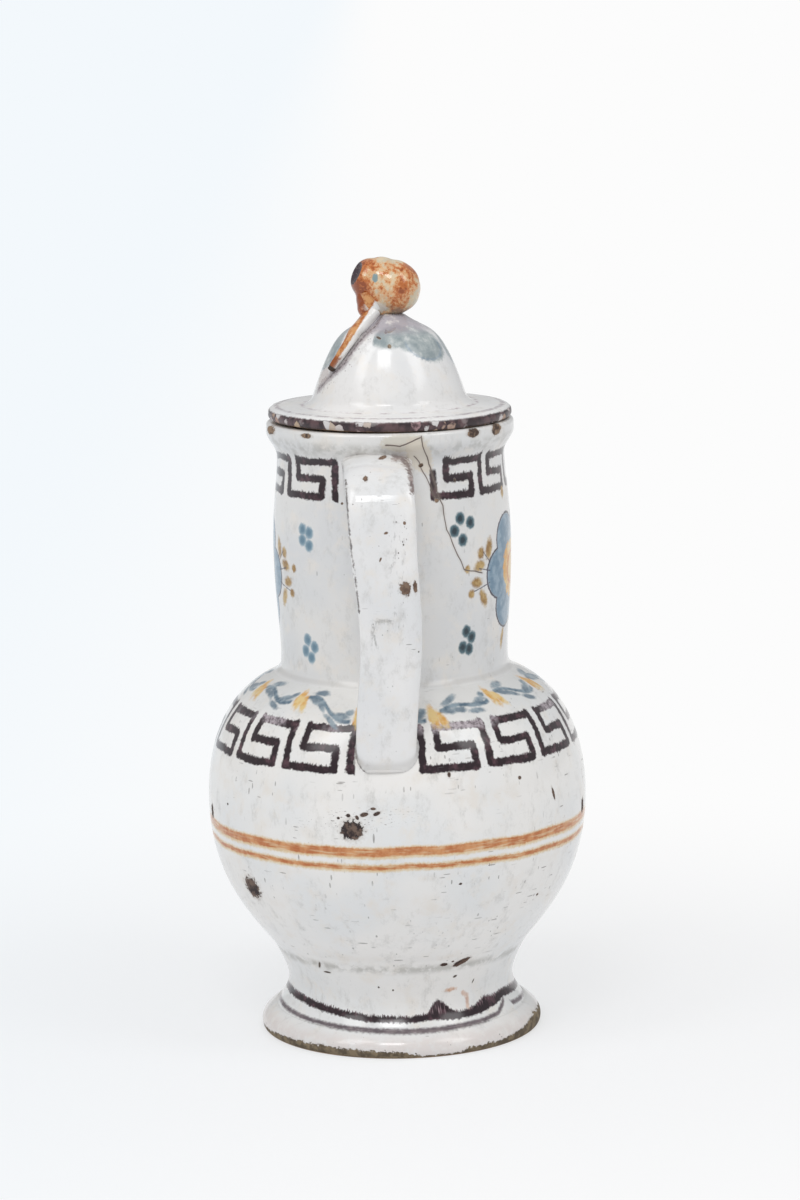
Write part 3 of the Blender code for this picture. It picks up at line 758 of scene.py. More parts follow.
    def damage(self, on: Surface) -> None:
        """Add the hairline cracks, the small hole beside the strap and the chipped lip.

        Args:
            on: The surface.
        """
        step = self.degree
        plane = on.plane(on.turn * step, on.z)
        cracks = (
            (0.11, [(14.5, 237.0), (15.0, 233.0), (19.5, 225.0), (22.5, 216.0), (25.5, 210.0),
                    (26.5, 201.0), (32.0, 191.5), (36.0, 185.0), (40.5, 184.0), (47.5, 182.5)]),
            (0.08, [(11.0, 229.0), (14.0, 226.5), (17.0, 222.0), (20.0, 216.0), (22.0, 213.0)]),
            (0.16, [(-2.5, 234.0), (4.0, 233.2), (9.0, 235.0), (14.0, 236.4)]))
        for half, places in cracks:
            on.crack(plane, [(turn * step, height) for turn, height in places], half)
        on.chips(plane, step, [
            (15.0, 225.5, 1.0, 0.8, 30.0), (22.3, 212.0, 0.9, 0.8), (-73.0, 236.2, 5.0, 1.7, 4.0),
            (-41.5, 236.6, 2.7, 0.9), (41.0, 236.5, 3.0, 1.7), (58.0, 236.3, 3.4, 2.2, 10.0),
            (150.0, 236.6, 3.6, 1.2), (-140.0, 236.8, 2.6, 1.2), (33.0, 219.0, 0.5, 0.8, 20.0),
            (-24.5, 211.5, 0.5, 0.5)], (tone(150, 126, 104), tone(74, 58, 50)), 0.35, 1.1)


@dataclass(frozen=True)
class BellyGlaze(TinGlaze):
    """The bowl: a garland and a running key on the shoulder, two orange bands and deep chips."""

    bow_radius: float = 25.4
    bow_height: float = 93.0
    bow: float = 50.3
    key_start: float = -37.0
    key_repeat: float = 22.5
    key_low: float = 23.4
    scratch: float = 0.8
    key: KeyBand = KeyBand(25.9, 16.6, 1.5)
    garland_repeat: float = 30.0
    garland_width: float = 27.0
    upper_band: Pair = (85.0, 1.95)
    lower_band: Pair = (79.1, 1.15)

    def paint(self, on: Surface) -> None:
        """Paint the bowl.

        Args:
            on: The surface.
        """
        rise = on.maths("ARCTAN2", on.z - self.bow_height, on.radius - self.bow_radius)
        rise = rise * self.bow
        # Painted shade: the shoulder greys towards the hollow at the neck's base.
        on.lay(on.smooth(on.z, 126.0, 141.0) * 0.5, tone(208, 208, 206))
        self.bands(on)
        self.running_key(on, rise)
        self.garland(on, rise)
        self.damage(on)

    def bands(self, on: Surface) -> None:
        """Paint the two orange bands round the middle, ochre and thin at their edges.

        Args:
            on: The surface.
        """
        wave = on.grain(on.plane(on.x, on.y), 24.0, 1.0) * 2.4 - 1.2
        streak = on.grain(on.place * (0.12, 0.12, 1.0), 0.8, 3.0)
        orange = Brush(tone(190, 112, 62), tone(214, 152, 100), 0.35, 0.7)
        edge = Brush(tone(222, 186, 126), tone(230, 206, 164), 0.7, 1.0)
        for (height, half), top in ((self.upper_band, 0.55), (self.lower_band, 0.35)):
            distance = abs(on.z + wave - height)
            on.stroke(distance, half + 0.35, edge, 0.85)
            on.stroke(abs(on.z + wave - height - top * 0.4), half - 0.35, orange,
                      on.smooth(streak, 0.30, 0.52, 0.35, 1.0))

    def running_key(self, on: Surface, rise: Value) -> None:
        """Paint the key, its top stroke rubbed to mauve in patches and, by the near strap, as a
        painted highlight.

        Args:
            on: The surface.
            rise: The way up the bowl's outline.
        """
        across = ((on.turn - self.key_start) / self.key_repeat) % 1.0
        height = rise - self.key_low
        distance = self.key.distance(on, across, height)
        side = (on.turn + 90.0) % 180.0 - 90.0
        clear = on.smooth(abs(side + 3.2), 9.4, 9.9)
        on.stroke(distance, self.key.half, MANGANESE, clear)
        # Painted highlight with wear: right of the near strap the top stroke is lightened to
        # mauve.
        lit_and_worn_spot = on.smooth(abs(on.turn - 18.0), 13.0, 8.0)
        patch = on.smooth(on.grain(on.place, 13.0, 2.0), 0.46, 0.60)
        rubbed = on.smooth(height, 12.5, 15.5) * most((lit_and_worn_spot, patch))
        inside = on.smooth(distance, self.key.half + 0.4, self.key.half - 0.4)
        on.lay(inside * rubbed * on.smooth(on.rough, -0.16, 0.10, 0.25, 0.85), tone(196, 184, 190),
               0.3)

    def garland(self, on: Surface, rise: Value) -> None:
        """Paint the wavy spray of blue leaves between pairs of ochre ones.

        Args:
            on: The surface.
            rise: The way up the bowl's outline.
        """
        side = (on.turn + 90.0) % 180.0 - 90.0
        sway = on.maths("SINE", side * math.radians(2.12)) * 0.09
        repeat = (side / self.garland_repeat - 0.5 + sway) % 1.0
        dip = on.smooth(abs(abs(side) - 14.0), 22.0, 0.0) * 6.4
        height = rise - 50.2 + dip
        across = repeat * self.garland_width
        plane = on.plane(across, height) + on.wander * (1.6, 1.4, 0.0)
        wave = on.maths("SINE", repeat * math.tau) * 2.6
        ends = on.smooth(abs(repeat - 0.5), 0.42, 0.38)
        on.stroke(abs(height - wave) * 0.86, 0.85, LEAF_GREY, ends)
        on.ovals(plane, 1.0, [
            (8.0, 5.3, 3.6, 1.7, 14.0), (6.8, 0.8, 3.4, 1.3, -30.0), (10.6, -0.6, 3.4, 1.2, -34.0),
            (17.2, -4.6, 3.3, 1.2, -24.0), (20.4, -0.6, 3.6, 1.6, 22.0),
            (23.2, 2.0, 1.9, 1.3, 50.0)], LEAF_GREY, 0.9)
        on.ovals(plane, 1.0, [
            (0.4, 0.4, 1.5, 5.2, 12.0), (3.0, -1.2, 1.4, 4.2, 20.0), (26.6, 0.6, 1.4, 4.6, 4.0)],
                 YELLOW, 0.95)

    def damage(self, on: Surface) -> None:
        """Break the chips of the near side into the glaze and scratch it.

        Args:
            on: The surface.
        """
        step = 1.26
        plane = on.plane(on.turn * step, on.z)
        on.chips(plane, step, [
            (-13.5, 93.4, 4.3, 3.8), (-54.5, 64.6, 5.0, 4.4, 30.0), (-77.0, 89.5, 2.0, 3.0),
            (76.5, 89.0, 2.2, 3.2), (54.0, 99.6, 0.7, 2.6, 16.0), (126.0, 70.0, 3.4, 3.0),
            (-150.0, 101.0, 2.2, 3.4, 20.0)], (tone(116, 96, 84), tone(48, 36, 36)), 0.4, 1.4)
        on.chips(plane, step, [
            (-9.8, 99.4, 1.7, 0.8, 16.0), (-6.0, 99.8, 1.5, 0.7, 24.0), (-7.2, 101.6, 1.1, 0.5),
            (-14.6, 98.9, 0.9, 0.7), (-17.6, 97.8, 0.6, 0.5), (-11.9, 98.2, 0.6, 0.9, 30.0),
            (40.0, 108.5, 0.8, 0.7), (16.0, 113.0, 0.7, 1.0), (-62.0, 96.0, 0.6, 0.5),
            (52.0, 60.0, 0.8, 0.5), (19.0, 71.0, 0.7, 0.5)], (tone(110, 90, 78), tone(60, 46, 42)),
                 0.25, 0.7)
        dash = on.grain(on.plane(on.turn * 0.9, on.z * 2.6), 1.2, 2.0)
        worn = on.smooth(on.oval(plane, (-12.0 * step, 97.5), (26.0, 5.0), 6.0), 1.2, 0.3)
        on.lay(on.smooth(dash, 0.64, 0.69) * worn, tone(104, 92, 84), 0.6, -0.06)
        seam_marks(on)


def seam_marks(on: Surface) -> None:
    """Add painted shade in the soft groove at the joint of foot and bowl, and the chips round it.

    Args:
        on: The surface.
    """
    step = 0.84
    plane = on.plane(on.turn * step, on.z)
    # Painted shade: a patchy grey band in the groove where the foot meets the bowl.
    painted_groove_shade = on.smooth(abs(on.z - 33.2), 3.0, 0.0) * on.smooth(on.pool, 0.36, 0.60)
    on.lay(painted_groove_shade * 0.6, tone(164, 161, 153))
    on.chips(plane, step,
             [(19.5, 34.6, 1.5, 0.8), (28.0, 34.8, 3.7, 1.3, 24.0), (23.5, 35.6, 0.5, 0.4)],
             (tone(98, 74, 62), tone(64, 44, 38)), 0.35, 0.8)
    on.chips(plane, step, [
        (26.5, 28.6, 0.9, 0.5, 20.0), (-40.0, 33.0, 0.5, 1.6, -30.0), (-37.0, 30.2, 1.8, 0.4),
        (-11.0, 25.6, 0.4, 0.4), (-4.0, 24.4, 0.4, 0.4), (38.0, 25.0, 0.3, 1.0, -20.0)],
             (tone(110, 98, 88), tone(76, 66, 60)), 0.2, 0.5)


@dataclass(frozen=True)
class FootGlaze(TinGlaze):
    """The foot: a feathered purple line, a thin one in the step and a worn standing edge."""

    degree: float = 0.83
    line_low: tuple[Pair, ...] = ((-180.0, 13.0), (-120.0, 13.6), (-79.5, 15.0), (-61.5, 14.6),
                                  (-38.0, 13.1), (-16.0, 11.7), (3.0, 11.5), (15.0, 11.9),
                                  (27.0, 11.3), (40.0, 11.6), (52.0, 13.0), (62.0, 14.4),
                                  (84.0, 13.4), (120.0, 12.6), (180.0, 13.0))
    line_high: tuple[Pair, ...] = ((-180.0, 15.4), (-120.0, 16.0), (-79.5, 17.8), (-61.5, 17.2),
                                   (-38.0, 15.7), (-16.0, 14.1), (3.0, 13.7), (12.5, 14.4),
                                   (15.5, 17.2), (18.0, 19.4), (21.0, 18.0), (26.5, 14.4),
                                   (33.0, 13.8), (40.5, 15.4), (46.0, 17.4), (52.5, 16.6),
                                   (62.5, 17.6), (84.0, 16.0), (120.0, 15.0), (180.0, 15.4))
    thin_line: tuple[Pair, ...] = ((-180.0, 9.6), (-79.5, 11.0), (-47.0, 10.2), (-24.0, 9.7),
                                   (2.5, 9.3), (20.0, 9.4), (41.5, 9.9), (51.5, 10.6),
                                   (58.5, 13.2), (62.0, 15.0), (66.0, 11.6), (90.0, 10.4),
                                   (180.0, 9.6))
    bare: tuple[Pair, ...] = ((-180.0, 1.6), (-120.0, 2.4), (-90.0, 1.6), (-75.0, 2.4),
                              (-60.0, 3.0), (-35.0, 3.5), (-15.0, 3.3), (0.0, 2.8), (8.0, 0.9),
                              (20.0, 0.9), (30.0, 2.4), (45.0, 2.6), (60.0, 4.2), (75.0, 6.2),
                              (90.0, 5.4), (120.0, 2.4), (180.0, 1.6))

    def paint(self, on: Surface) -> None:
        """Paint the foot.

        Args:
            on: The surface.
        """
        pink = on.smooth(on.z, 9.5, 5.5) * on.smooth(on.pool, 0.28, 0.60, 0.4, 1.0)
        on.lay(pink * 0.8, tone(224, 215, 211))
        low = on.curve(on.turn, self.line_low) + 0.5
        high = on.curve(on.turn, self.line_high) + on.combed * 2.6 + 0.5
        centre, half = (low + high) * 0.5, (high - low) * 0.5
        on.stroke(abs(on.z - centre), half, MANGANESE)
        tuft = on.smooth(on.z - low, 1.6, 3.4) * on.smooth(on.combed, 0.02, 0.20)
        on.lay(tuft * on.smooth(high - on.z, -0.2, 0.4) * 0.8, tone(176, 150, 156))
        thin = abs(on.z - on.curve(on.turn, self.thin_line))
        on.stroke(thin, 0.75, Brush(tone(80, 64, 72), tone(120, 106, 110), 0.5, 0.7),
                  on.smooth(abs(on.turn - 63.0), 1.0, 3.5) * 0.92)
        plane = on.plane(on.turn * self.degree, on.z)
        on.ovals(plane, self.degree, [(25.2, 23.0, 2.3, 0.7, 4.0)], RUST)
        run = [(32.4 * self.degree, 21.0), (35.2 * self.degree, 19.4), (34.6 * self.degree, 15.4)]
        on.stroke(on.path(plane, run), 0.8, RUST, 0.7)
        seam_marks(on)
        self.standing_edge(on)

    def standing_edge(self, on: Surface) -> None:
        """Wear the glaze off the standing edge, down to the dirty clay.

        Args:
            on: The surface.
        """
        ragged = on.rough * 3.6 + on.grain(on.plane(on.x, on.y), 4.0, 2.0) * 1.6
        bare = on.smooth(on.z - on.curve(on.turn, self.bare) - ragged + 0.8, 0.25, -0.25)
        earth = on.blend(on.smooth(on.pool + on.rough * 0.4, 0.38, 0.62), tone(134, 118, 94),
                         tone(92, 80, 64))
        on.lay(bare, earth, 0.8, -0.22)
        specks, number = on.cells(on.place, 1.7)
        hole = on.smooth(number * 0.44 - 0.22 - specks, 0.0, 0.06)
        low = on.smooth(on.z, 7.0, 3.0)
        on.lay(hole * low, tone(92, 78, 68), 0.7, -0.08)


@dataclass(frozen=True)
class StrapGlaze(TinGlaze):
    """A strap: bare of paint, with chips down to the clay, pinholes and worn purple edges."""

    side: Side = Side.NEAR
    light: RGB = tone(242, 240, 238)
    cool: RGB = tone(231, 231, 231)
    speckle: float = 0.85
    scratch: float = 0.6

    def paint(self, on: Surface) -> None:
        """Wear the strap.

        Args:
            on: The surface.
        """
        flip = 1.0 if self.side is Side.NEAR else -1.0
        across, out = on.y * flip, on.x * flip
        plane = on.plane(across, on.z)
        face = on.smooth(out - 66.0, 0.0, 5.0)
        on.chips(plane, 1.0, [
            (4.6, 184.9, 2.1, 2.7, 6.0), (8.1, 185.2, 0.8, 2.4, 4.0), (-9.3, 224.6, 0.9, 0.85),
            (-2.9, 229.9, 1.5, 0.32, 8.0), (-2.2, 205.8, 0.8, 0.45, 20.0), (4.6, 209.3, 0.5, 0.6),
            (-4.4, 196.0, 0.3, 0.8, -20.0)], (tone(132, 108, 90), tone(100, 78, 66)), 0.35, 1.6)
        smear = on.grain(on.plane(across, on.z * 0.35), 1.6, 4.0, 0.65)
        lanes = on.smooth(abs(across - 1.5), 5.0, 1.0) * on.smooth(abs(on.z - 186.0), 34.0, 12.0)
        on.lay(on.smooth(smear, 0.54, 0.66) * lanes * 0.42 * face, tone(140, 138, 136))
        specks, number = on.cells(on.place * (1.0, 1.0, 0.7), 1.25)
        hole = on.smooth(number * 0.5 - 0.19 - specks, 0.0, 0.08)
        lane = on.smooth(abs(across - 3.2), 3.6, 0.6) * on.smooth(abs(on.z - 196.0), 26.0, 10.0)
        on.lay(hole * lane, tone(92, 80, 74), 0.7, -0.08)
        rubbed = least((
            on.line(plane, (-6.5, 172.6), (-1.4, 172.8)),
            on.line(plane, (-7.6, 171.6), (-7.0, 162.4))))
        smudge = on.smooth(rubbed + on.rough * 3.0, 2.0, -0.6)
        on.lay(smudge * on.smooth(smear, 0.44, 0.56) * 0.6, tone(136, 134, 130))
        pooled = on.smooth(on.pool, 0.36, 0.50) * 0.9
        edges = (
            ([(1.2, 230.0), (4.0, 229.6), (6.2, 228.0), (7.4, 225.0), (7.8, 220.0)],
             0.8, Brush(tone(104, 82, 78), tone(170, 150, 144), 0.6, 2.2), 0.9),
            ([(-16.6, 224.0), (-15.9, 208.6), (-14.7, 196.0), (-13.6, 187.0), (-12.7, 176.0)],
             0.3, Brush(tone(72, 62, 60), tone(150, 142, 138), 0.35, 1.2), pooled),
            ([(-15.2, 123.0), (-14.6, 118.6), (-12.4, 115.0), (-9.0, 112.8)],
             0.3, Brush(tone(78, 66, 62), tone(160, 150, 144), 0.35, 1.2), 0.85))
        for points, half, brush, strength in edges:
            on.stroke(on.path(plane, points), half, brush, strength)
        # Painted shade on the strap where it meets the wall, at the tongue and under the lip.
        joint_shade = on.smooth(out - self.bowl_line(on), 3.0, 0.6)
        on.lay(joint_shade * 0.35, tone(170, 166, 160))

    def bowl_line(self, on: Surface) -> Value:
        """Return how far out the bowl's surface is beside the tongue.

        Args:
            on: The surface.

        Returns:
            The distance from the axis.
        """
        return on.curve(on.z, (
            (100.0, 72.9), (110.0, 71.4), (118.0, 68.8), (127.0, 64.1), (133.0, 58.9),
            (140.0, 47.9), (150.0, 44.0), (188.0, 45.9), (224.0, 43.7), (238.0, 47.0)))


@dataclass(frozen=True)
class LidGlaze(TinGlaze):
    """The lid: blue-grey leaves round the dome and a purple-brown edge full of chips."""

    light: RGB = tone(239, 237, 235)
    cool: RGB = tone(230, 230, 230)
    speckle: float = 0.35
    scratch: float = 0.25
    degree: float = 0.40
    leaf: Brush = Brush(tone(146, 157, 160), tone(184, 191, 190), 0.6, 0.9, (0.30, 0.68))
    leaf_edge: Brush = Brush(tone(120, 140, 158), tone(168, 180, 190), 0.5, 0.9)

    def paint(self, on: Surface) -> None:
        """Paint the lid.

        Args:
            on: The surface.
        """
        plane = on.plane(on.turn * self.degree, on.z)
        self.leaves(on)
        # Lavender grey round the fruit's base: partly a mauve wash, partly painted shade under the
        # fruit.
        crown = on.smooth(on.z + on.rough * 2.0, 270.5, 274.5) * on.smooth(on.pool, 0.24, 0.5)
        on.lay(crown * 0.85, tone(172, 167, 176))
        line = abs(on.radius - 33.4) + on.rough * 0.8
        broken = on.smooth(on.pool, 0.36, 0.58)
        on.stroke(line, 0.6, Brush(tone(158, 134, 142), tone(206, 194, 198), 0.8, 1.2),
                  on.smooth(on.z, 247.4, 246.4) * broken * 0.8)
        self.edge(on)
        self.scar(on, plane)

    def lift(self, on: Surface) -> Value:
        """Return how far the flange is bent up, in millimetres."""
        return on.smooth(on.y, 12.0, -40.0) * on.smooth(on.radius, 30.0, 44.0) * 0.6

    def leaves(self, on: Surface) -> None:
        """Paint the leaf shapes that hang from the crown, two on each side.

        Args:
            on: The surface.
        """
        side = (on.turn + 18.0) % 180.0 - 18.0
        plane = on.plane(side * self.degree, on.z)
        on.ovals(plane, self.degree, [
            (7.0, 271.2, 10.6, 3.9, 6.0), (47.0, 267.8, 9.6, 6.4, -8.0), (28.0, 270.0, 8.0, 4.6),
            (96.0, 265.6, 8.8, 7.6)], self.leaf, on.smooth(on.pool, 0.22, 0.46, 0.55, 1.0))
        rim = least((
            abs(on.oval(plane, (17.0, 268.6), (9.2, 6.2), -8.0) - 1.0),
            abs(on.oval(plane, (38.6, 265.6), (8.8, 7.6)) - 1.0)))
        on.stroke(rim * 7.0, 0.35, self.leaf_edge, on.smooth(on.z, 270.5, 267.5) * 0.7)
        on.chips(on.plane(on.turn * 0.36, on.z), 1.0, [
            (2.2, 273.4, 2.9, 0.5, 16.0), (-1.0, 272.9, 0.8, 0.7), (0.4, 267.9, 0.8, 0.8),
            (-4.2, 270.9, 1.3, 0.4, -20.0)], (tone(150, 132, 112), tone(88, 76, 68)), 0.2, 0.8)

    def edge(self, on: Surface) -> None:
        """Paint the flange's edge purple-brown and chip it to white glaze and to the clay.

        Args:
            on: The surface.
        """
        height = on.z - self.lift(on)
        band = (on.smooth(on.radius + on.rough * 2.0, 44.3, 45.2)
                * on.smooth(height + on.rough * 1.0, 242.5, 241.9))
        worn = on.grain(on.plane(on.turn * 0.8, on.z * 1.1), 4.6, 4.0, 0.62)
        flakes, number = on.cells(on.plane(on.turn * 0.82, height) + on.wander * 2.0, 3.6)
        dark = on.blend(on.smooth(on.pool, 0.36, 0.62), tone(96, 72, 74), tone(50, 36, 40))
        on.lay(band, dark, 0.35)
        pale = on.smooth(number, 0.50, 0.54) * on.smooth(worn, 0.36, 0.50)
        clay = on.node("ShaderNodeValToRGB", {
            "stops": [(0.55, tone(208, 200, 198)), (0.70, tone(188, 164, 138)),
                      (0.80, tone(164, 126, 128)), (0.92, tone(216, 212, 210))]}, {0: number})
        on.lay(band * pale * on.smooth(flakes + on.rough * 0.7, 0.66, 0.50),
               Value(on, clay.outputs[0], True), 0.5, -0.25)
        rim = abs(on.radius - 43.2) + on.rough * 2.4
        top = on.smooth(height, 242.0, 243.0) * on.smooth(on.pool, 0.34, 0.56)
        on.lay(on.smooth(rim, 1.5, 0.2) * top * 0.7, tone(140, 122, 130))

    def scar(self, on: Surface, plane: Value) -> None:
        """Darken the seam along the twig and the rough place where its end broke off.

        Args:
            on: The surface.
            plane: The flat place.
        """
        seam = [(turn * self.degree, height) for turn, height in (
            (-19.0, 278.0), (-38.5, 266.5), (-45.0, 261.2), (-71.5, 251.0))]
        distance = on.path(plane + on.wander * 2.4, seam) + on.rough * 3.0
        on.lay(on.smooth(distance, 2.6, 0.4) * 0.8, tone(158, 147, 150), 0.35, 0.3)
        on.lay(on.smooth(distance, 0.6, -0.3) * 0.8, tone(104, 92, 94), 0.4, -0.25)
        pits, number = on.cells(on.place, 1.0)
        near = on.smooth(distance, 5.2, 1.0)
        hole = on.smooth(number * 0.5 - 0.14 - pits, 0.0, 0.06) * near
        on.lay(hole, tone(132, 118, 116), 0.5, -0.12)
        rough = on.smooth(on.oval(plane, (-71.0 * self.degree, 256.0), (4.2, 3.2), 30.0)
                          + on.rough, 1.1, 0.7)
        on.lay(rough * 0.6, tone(198, 186, 182), 0.4, 0.1)


@dataclass(frozen=True)
class FruitGlaze(TinGlaze):
    """The fruit: rust-orange dabbed over cream, with grey-green painted shadow below and dark at
    the blossom end.
    """

    gloss: float = 0.10
    calyx: Place = (1.8, -12.2, 294.3)

    def paint(self, on: Surface) -> None:
        """Paint the fruit.

        Args:
            on: The surface.
        """
        cream = on.blend(on.smooth(on.pool, 0.36, 0.62), tone(226, 204, 170), tone(206, 196, 172))
        on.lay(on.smooth(on.z, 0.0, 1.0), cream, 0.12)
        fine = on.grain(on.place, 2.4, 5.0, 0.68)
        stem = on.maths("LENGTH", (on.place - (4.0, -9.5, 286.0)) * (0.7, 1.0, 0.62))
        dab = (on.grain(on.place * (1.0, 1.0, 0.8), 8.5, 5.0, 0.62) + on.smooth(stem, 8.5, 3.5)
               * 0.18 + (fine - 0.5) * 0.42)
        on.lay(on.smooth(dab, 0.38, 0.48) * 0.8, tone(222, 166, 112), 0.09)
        on.lay(on.smooth(dab + on.rough * 0.25, 0.46, 0.56) * 0.85, tone(192, 102, 42), 0.09)
        on.lay(on.smooth(dab + on.rough * 0.3, 0.56, 0.68) * 0.8, tone(134, 60, 26), 0.09)
        # Painted shadow on the fruit's underside, where it sits on the dome.
        shade = on.smooth(on.z, 284.0, 279.5) * on.smooth(on.y, -6.0, -3.0)
        on.lay(shade * on.smooth(on.pool, 0.34, 0.58) * 0.7, tone(130, 126, 110))
        pale = on.maths("LENGTH", (on.place - (6.5, -4.6, 281.4)) * (1.0, 0.75, 1.5))
        on.lay(on.smooth(pale + on.rough * 2.0, 4.2, 2.6) * 0.9, tone(222, 214, 202))
        spot = on.maths("LENGTH", (on.place - (8.6, -4.4, 292.6)) * (1.0, 1.25, 0.8))
        on.lay(on.smooth(spot + on.rough * 0.8, 1.6, 1.2), tone(136, 156, 158))
        self.blossom(on)

    def blossom(self, on: Surface) -> None:
        """Paint the withered blossom end dark purple-brown.

        Args:
            on: The surface.
        """
        away = (on.place - self.calyx) * (0.95, 1.0, 0.92)
        distance = on.maths("LENGTH", away) + on.rough * 1.4
        on.lay(on.smooth(distance, 4.7, 4.1), tone(60, 44, 52), 0.3, -0.1)
        flake = on.smooth(on.rough, 0.08, 0.16) * on.smooth(distance, 4.2, 3.6)
        on.lay(flake * 0.6, tone(150, 138, 132))


@dataclass(frozen=True)
class TwigGlaze(TinGlaze):
    """The twig: white, brushed with ochre-orange along its upper left side."""

    start: Pair = (-8.2, 278.6)
    end: Pair = (-20.6, 261.0)

    def paint(self, on: Surface) -> None:
        """Paint the twig.

        Args:
            on: The surface.
        """
        reach = math.hypot(self.end[0] - self.start[0], self.end[1] - self.start[1])
        along = ((self.end[0] - self.start[0]) / reach, (self.end[1] - self.start[1]) / reach)
        offset = on.plane(on.y, on.z) - (*self.start, 0.0)
        aside = on.maths("DOT_PRODUCT", offset, (-along[1], along[0], 0.0)) + on.rough * 1.1
        orange = on.blend(on.smooth(on.pool + on.rough * 0.5, 0.38, 0.62), tone(212, 156, 102),
                          tone(176, 100, 48))
        on.lay(on.smooth(aside, 0.25, -0.35), orange, 0.16)
        tip = on.smooth(on.z + on.rough * 2.0, 264.4, 263.0) * on.smooth(aside, 1.2, 0.2)
        on.lay(tip * 0.9, tone(146, 78, 34), 0.2)
        far = on.maths("DOT_PRODUCT", offset, (*along, 0.0))
        on.lay(on.smooth(far, reach + 0.9, reach + 1.3), tone(58, 44, 34), 0.6)


# ---------------------------------------------------------------- shapes


def mix(first: float, second: float, share: float) -> float:
    """Return the number at a share of the way from one to another."""
    return first + (second - first) * share


def eased(place: float) -> float:
    """Return a share, kept between 0 and 1, that starts and ends gently."""
    place = min(1.0, max(0.0, place))
    return place * place * (3.0 - 2.0 * place)


def heading(points: Sequence[Vector], index: int) -> Vector:
    """Return the unit step of a line of points where one of them stands."""
    return (points[min(index + 1, len(points) - 1)] - points[max(index - 1, 0)]).normalized()


def lean(angle: float) -> Vector:
    """Return the unit step of a line that leans outwards from upright by an angle."""
    turn = math.radians(angle)
    return Vector((math.sin(turn), math.cos(turn)))


def arc(start: Vector, start_step: Vector, end: Vector, end_step: Vector, count: int) -> Outline:
    """Return points of a smooth curve that leaves and arrives along two given steps.

    Args:
        start: First point.
        start_step: Step with which the curve leaves it.
        end: Last point.
        end_step: Step with which the curve arrives.
        count: Number of stretches.

    Returns:
        The points.
    """
    points = []
    for index in range(count + 1):
        place = index / count
        rest = 1.0 - place
        points.append(start * rest ** 3 + (start + start_step) * (3 * rest * rest * place)
                      + (end - end_step) * (3 * rest * place * place) + end * place ** 3)
    return points


def rounded(corner: Vector, before: Vector, after: Vector, radius: float, count: int) -> Outline:
    """Return points that round a corner between the points before and after it.

    Args:
        corner: The corner.
        before: The point before it.
        after: The point after it.
        radius: How far from the corner the rounding starts.
        count: Number of stretches.

    Returns:
        The points.
    """
    start = corner + (before - corner).normalized() * radius
    end = corner + (after - corner).normalized() * radius
    return arc(start, (corner - start) * 0.55, end, (end - corner) * 0.55, count)


def spaced(points: Outline, gap: float) -> Outline:
    """Return the same outline with points at even gaps.

    Args:
        points: The outline.
        gap: The wanted gap.

    Returns:
        The new outline.
    """
    lengths = [0.0]
    for near, far in zip(points, points[1:]):
        lengths.append(lengths[-1] + (far - near).length)
    count = max(2, round(lengths[-1] / gap))
    result, index = [], 0
    for step in range(count + 1):
        wanted = lengths[-1] * step / count
        while index < len(points) - 2 and lengths[index + 1] < wanted:
            index += 1
        stretch = max(lengths[index + 1] - lengths[index], 1e-9)
        result.append(points[index].lerp(points[index + 1], (wanted - lengths[index]) / stretch))
    return result


def softened(points: Outline, height: float, reach: float, rounds: int) -> Outline:
    """Return the outline with the corner at a height worn round.

    Args:
        points: An evenly spaced outline.
        height: The corner's height.
        reach: How far from the corner the outline changes.
        rounds: How many times the points are evened out.

    Returns:
        The new outline.
    """
    middle = min(points, key=lambda point: abs(point.y - height)).copy()
    shares = [max(0.0, 1.0 - (point - middle).length / reach) ** 0.5 for point in points]
    current = [point.copy() for point in points]
    for _ in range(rounds):
        even = [(near + far) / 2.0 for near, far in zip(current, current[2:])]
        for index, target in enumerate(even, start=1):
            current[index] = current[index].lerp(target, shares[index])
    return current


def hand_throw(point: Vector) -> Vector:
    """Return a point moved slightly inwards, as on a wall that was thrown by hand.

    Args:
        point: The point.

    Returns:
        The moved point.
    """
    away = Vector((point.x, point.y, 0.0))
    if away.length < 0.012:
        return point
    wave = noise.noise(Vector((point.x * 22.0, point.y * 22.0, point.z * 30.0)))
    ripple = noise.noise(Vector((point.x * 6.0, point.y * 6.0, point.z * 170.0)))
    inwards = 0.00013 * (1.0 + wave) + 0.00004 * (1.0 + ripple)
    return point - away.normalized() * inwards


def turned(loop: Outline, steps: int = 256,
           touch: Optional[Callable[[Vector], Vector]] = None) -> bmesh.types.BMesh:
    """Turn a section once round the axis.

    Args:
        loop: The section; it is closed where an end is off the axis.
        steps: Number of steps round.
        touch: Moves each point afterwards.

    Returns:
        The form, with its faces outwards.
    """
    form = bmesh.new()
    corners = [form.verts.new((point.x, 0.0, point.y)) for point in loop]
    edges = [form.edges.new(pair) for pair in zip(corners, corners[1:])]
    if loop[0].x > 0.0 or loop[-1].x > 0.0:
        edges.append(form.edges.new((corners[-1], corners[0])))
    bmesh.ops.spin(form, geom=corners + edges, cent=(0, 0, 0), axis=(0, 0, 1),
                   angle=math.tau, steps=steps, use_merge=True)
    bmesh.ops.remove_doubles(form, verts=form.verts, dist=1e-6)
    if touch is not None:
        for vert in form.verts:
            vert.co = touch(vert.co)
    bmesh.ops.recalc_face_normals(form, faces=form.faces)
    return form


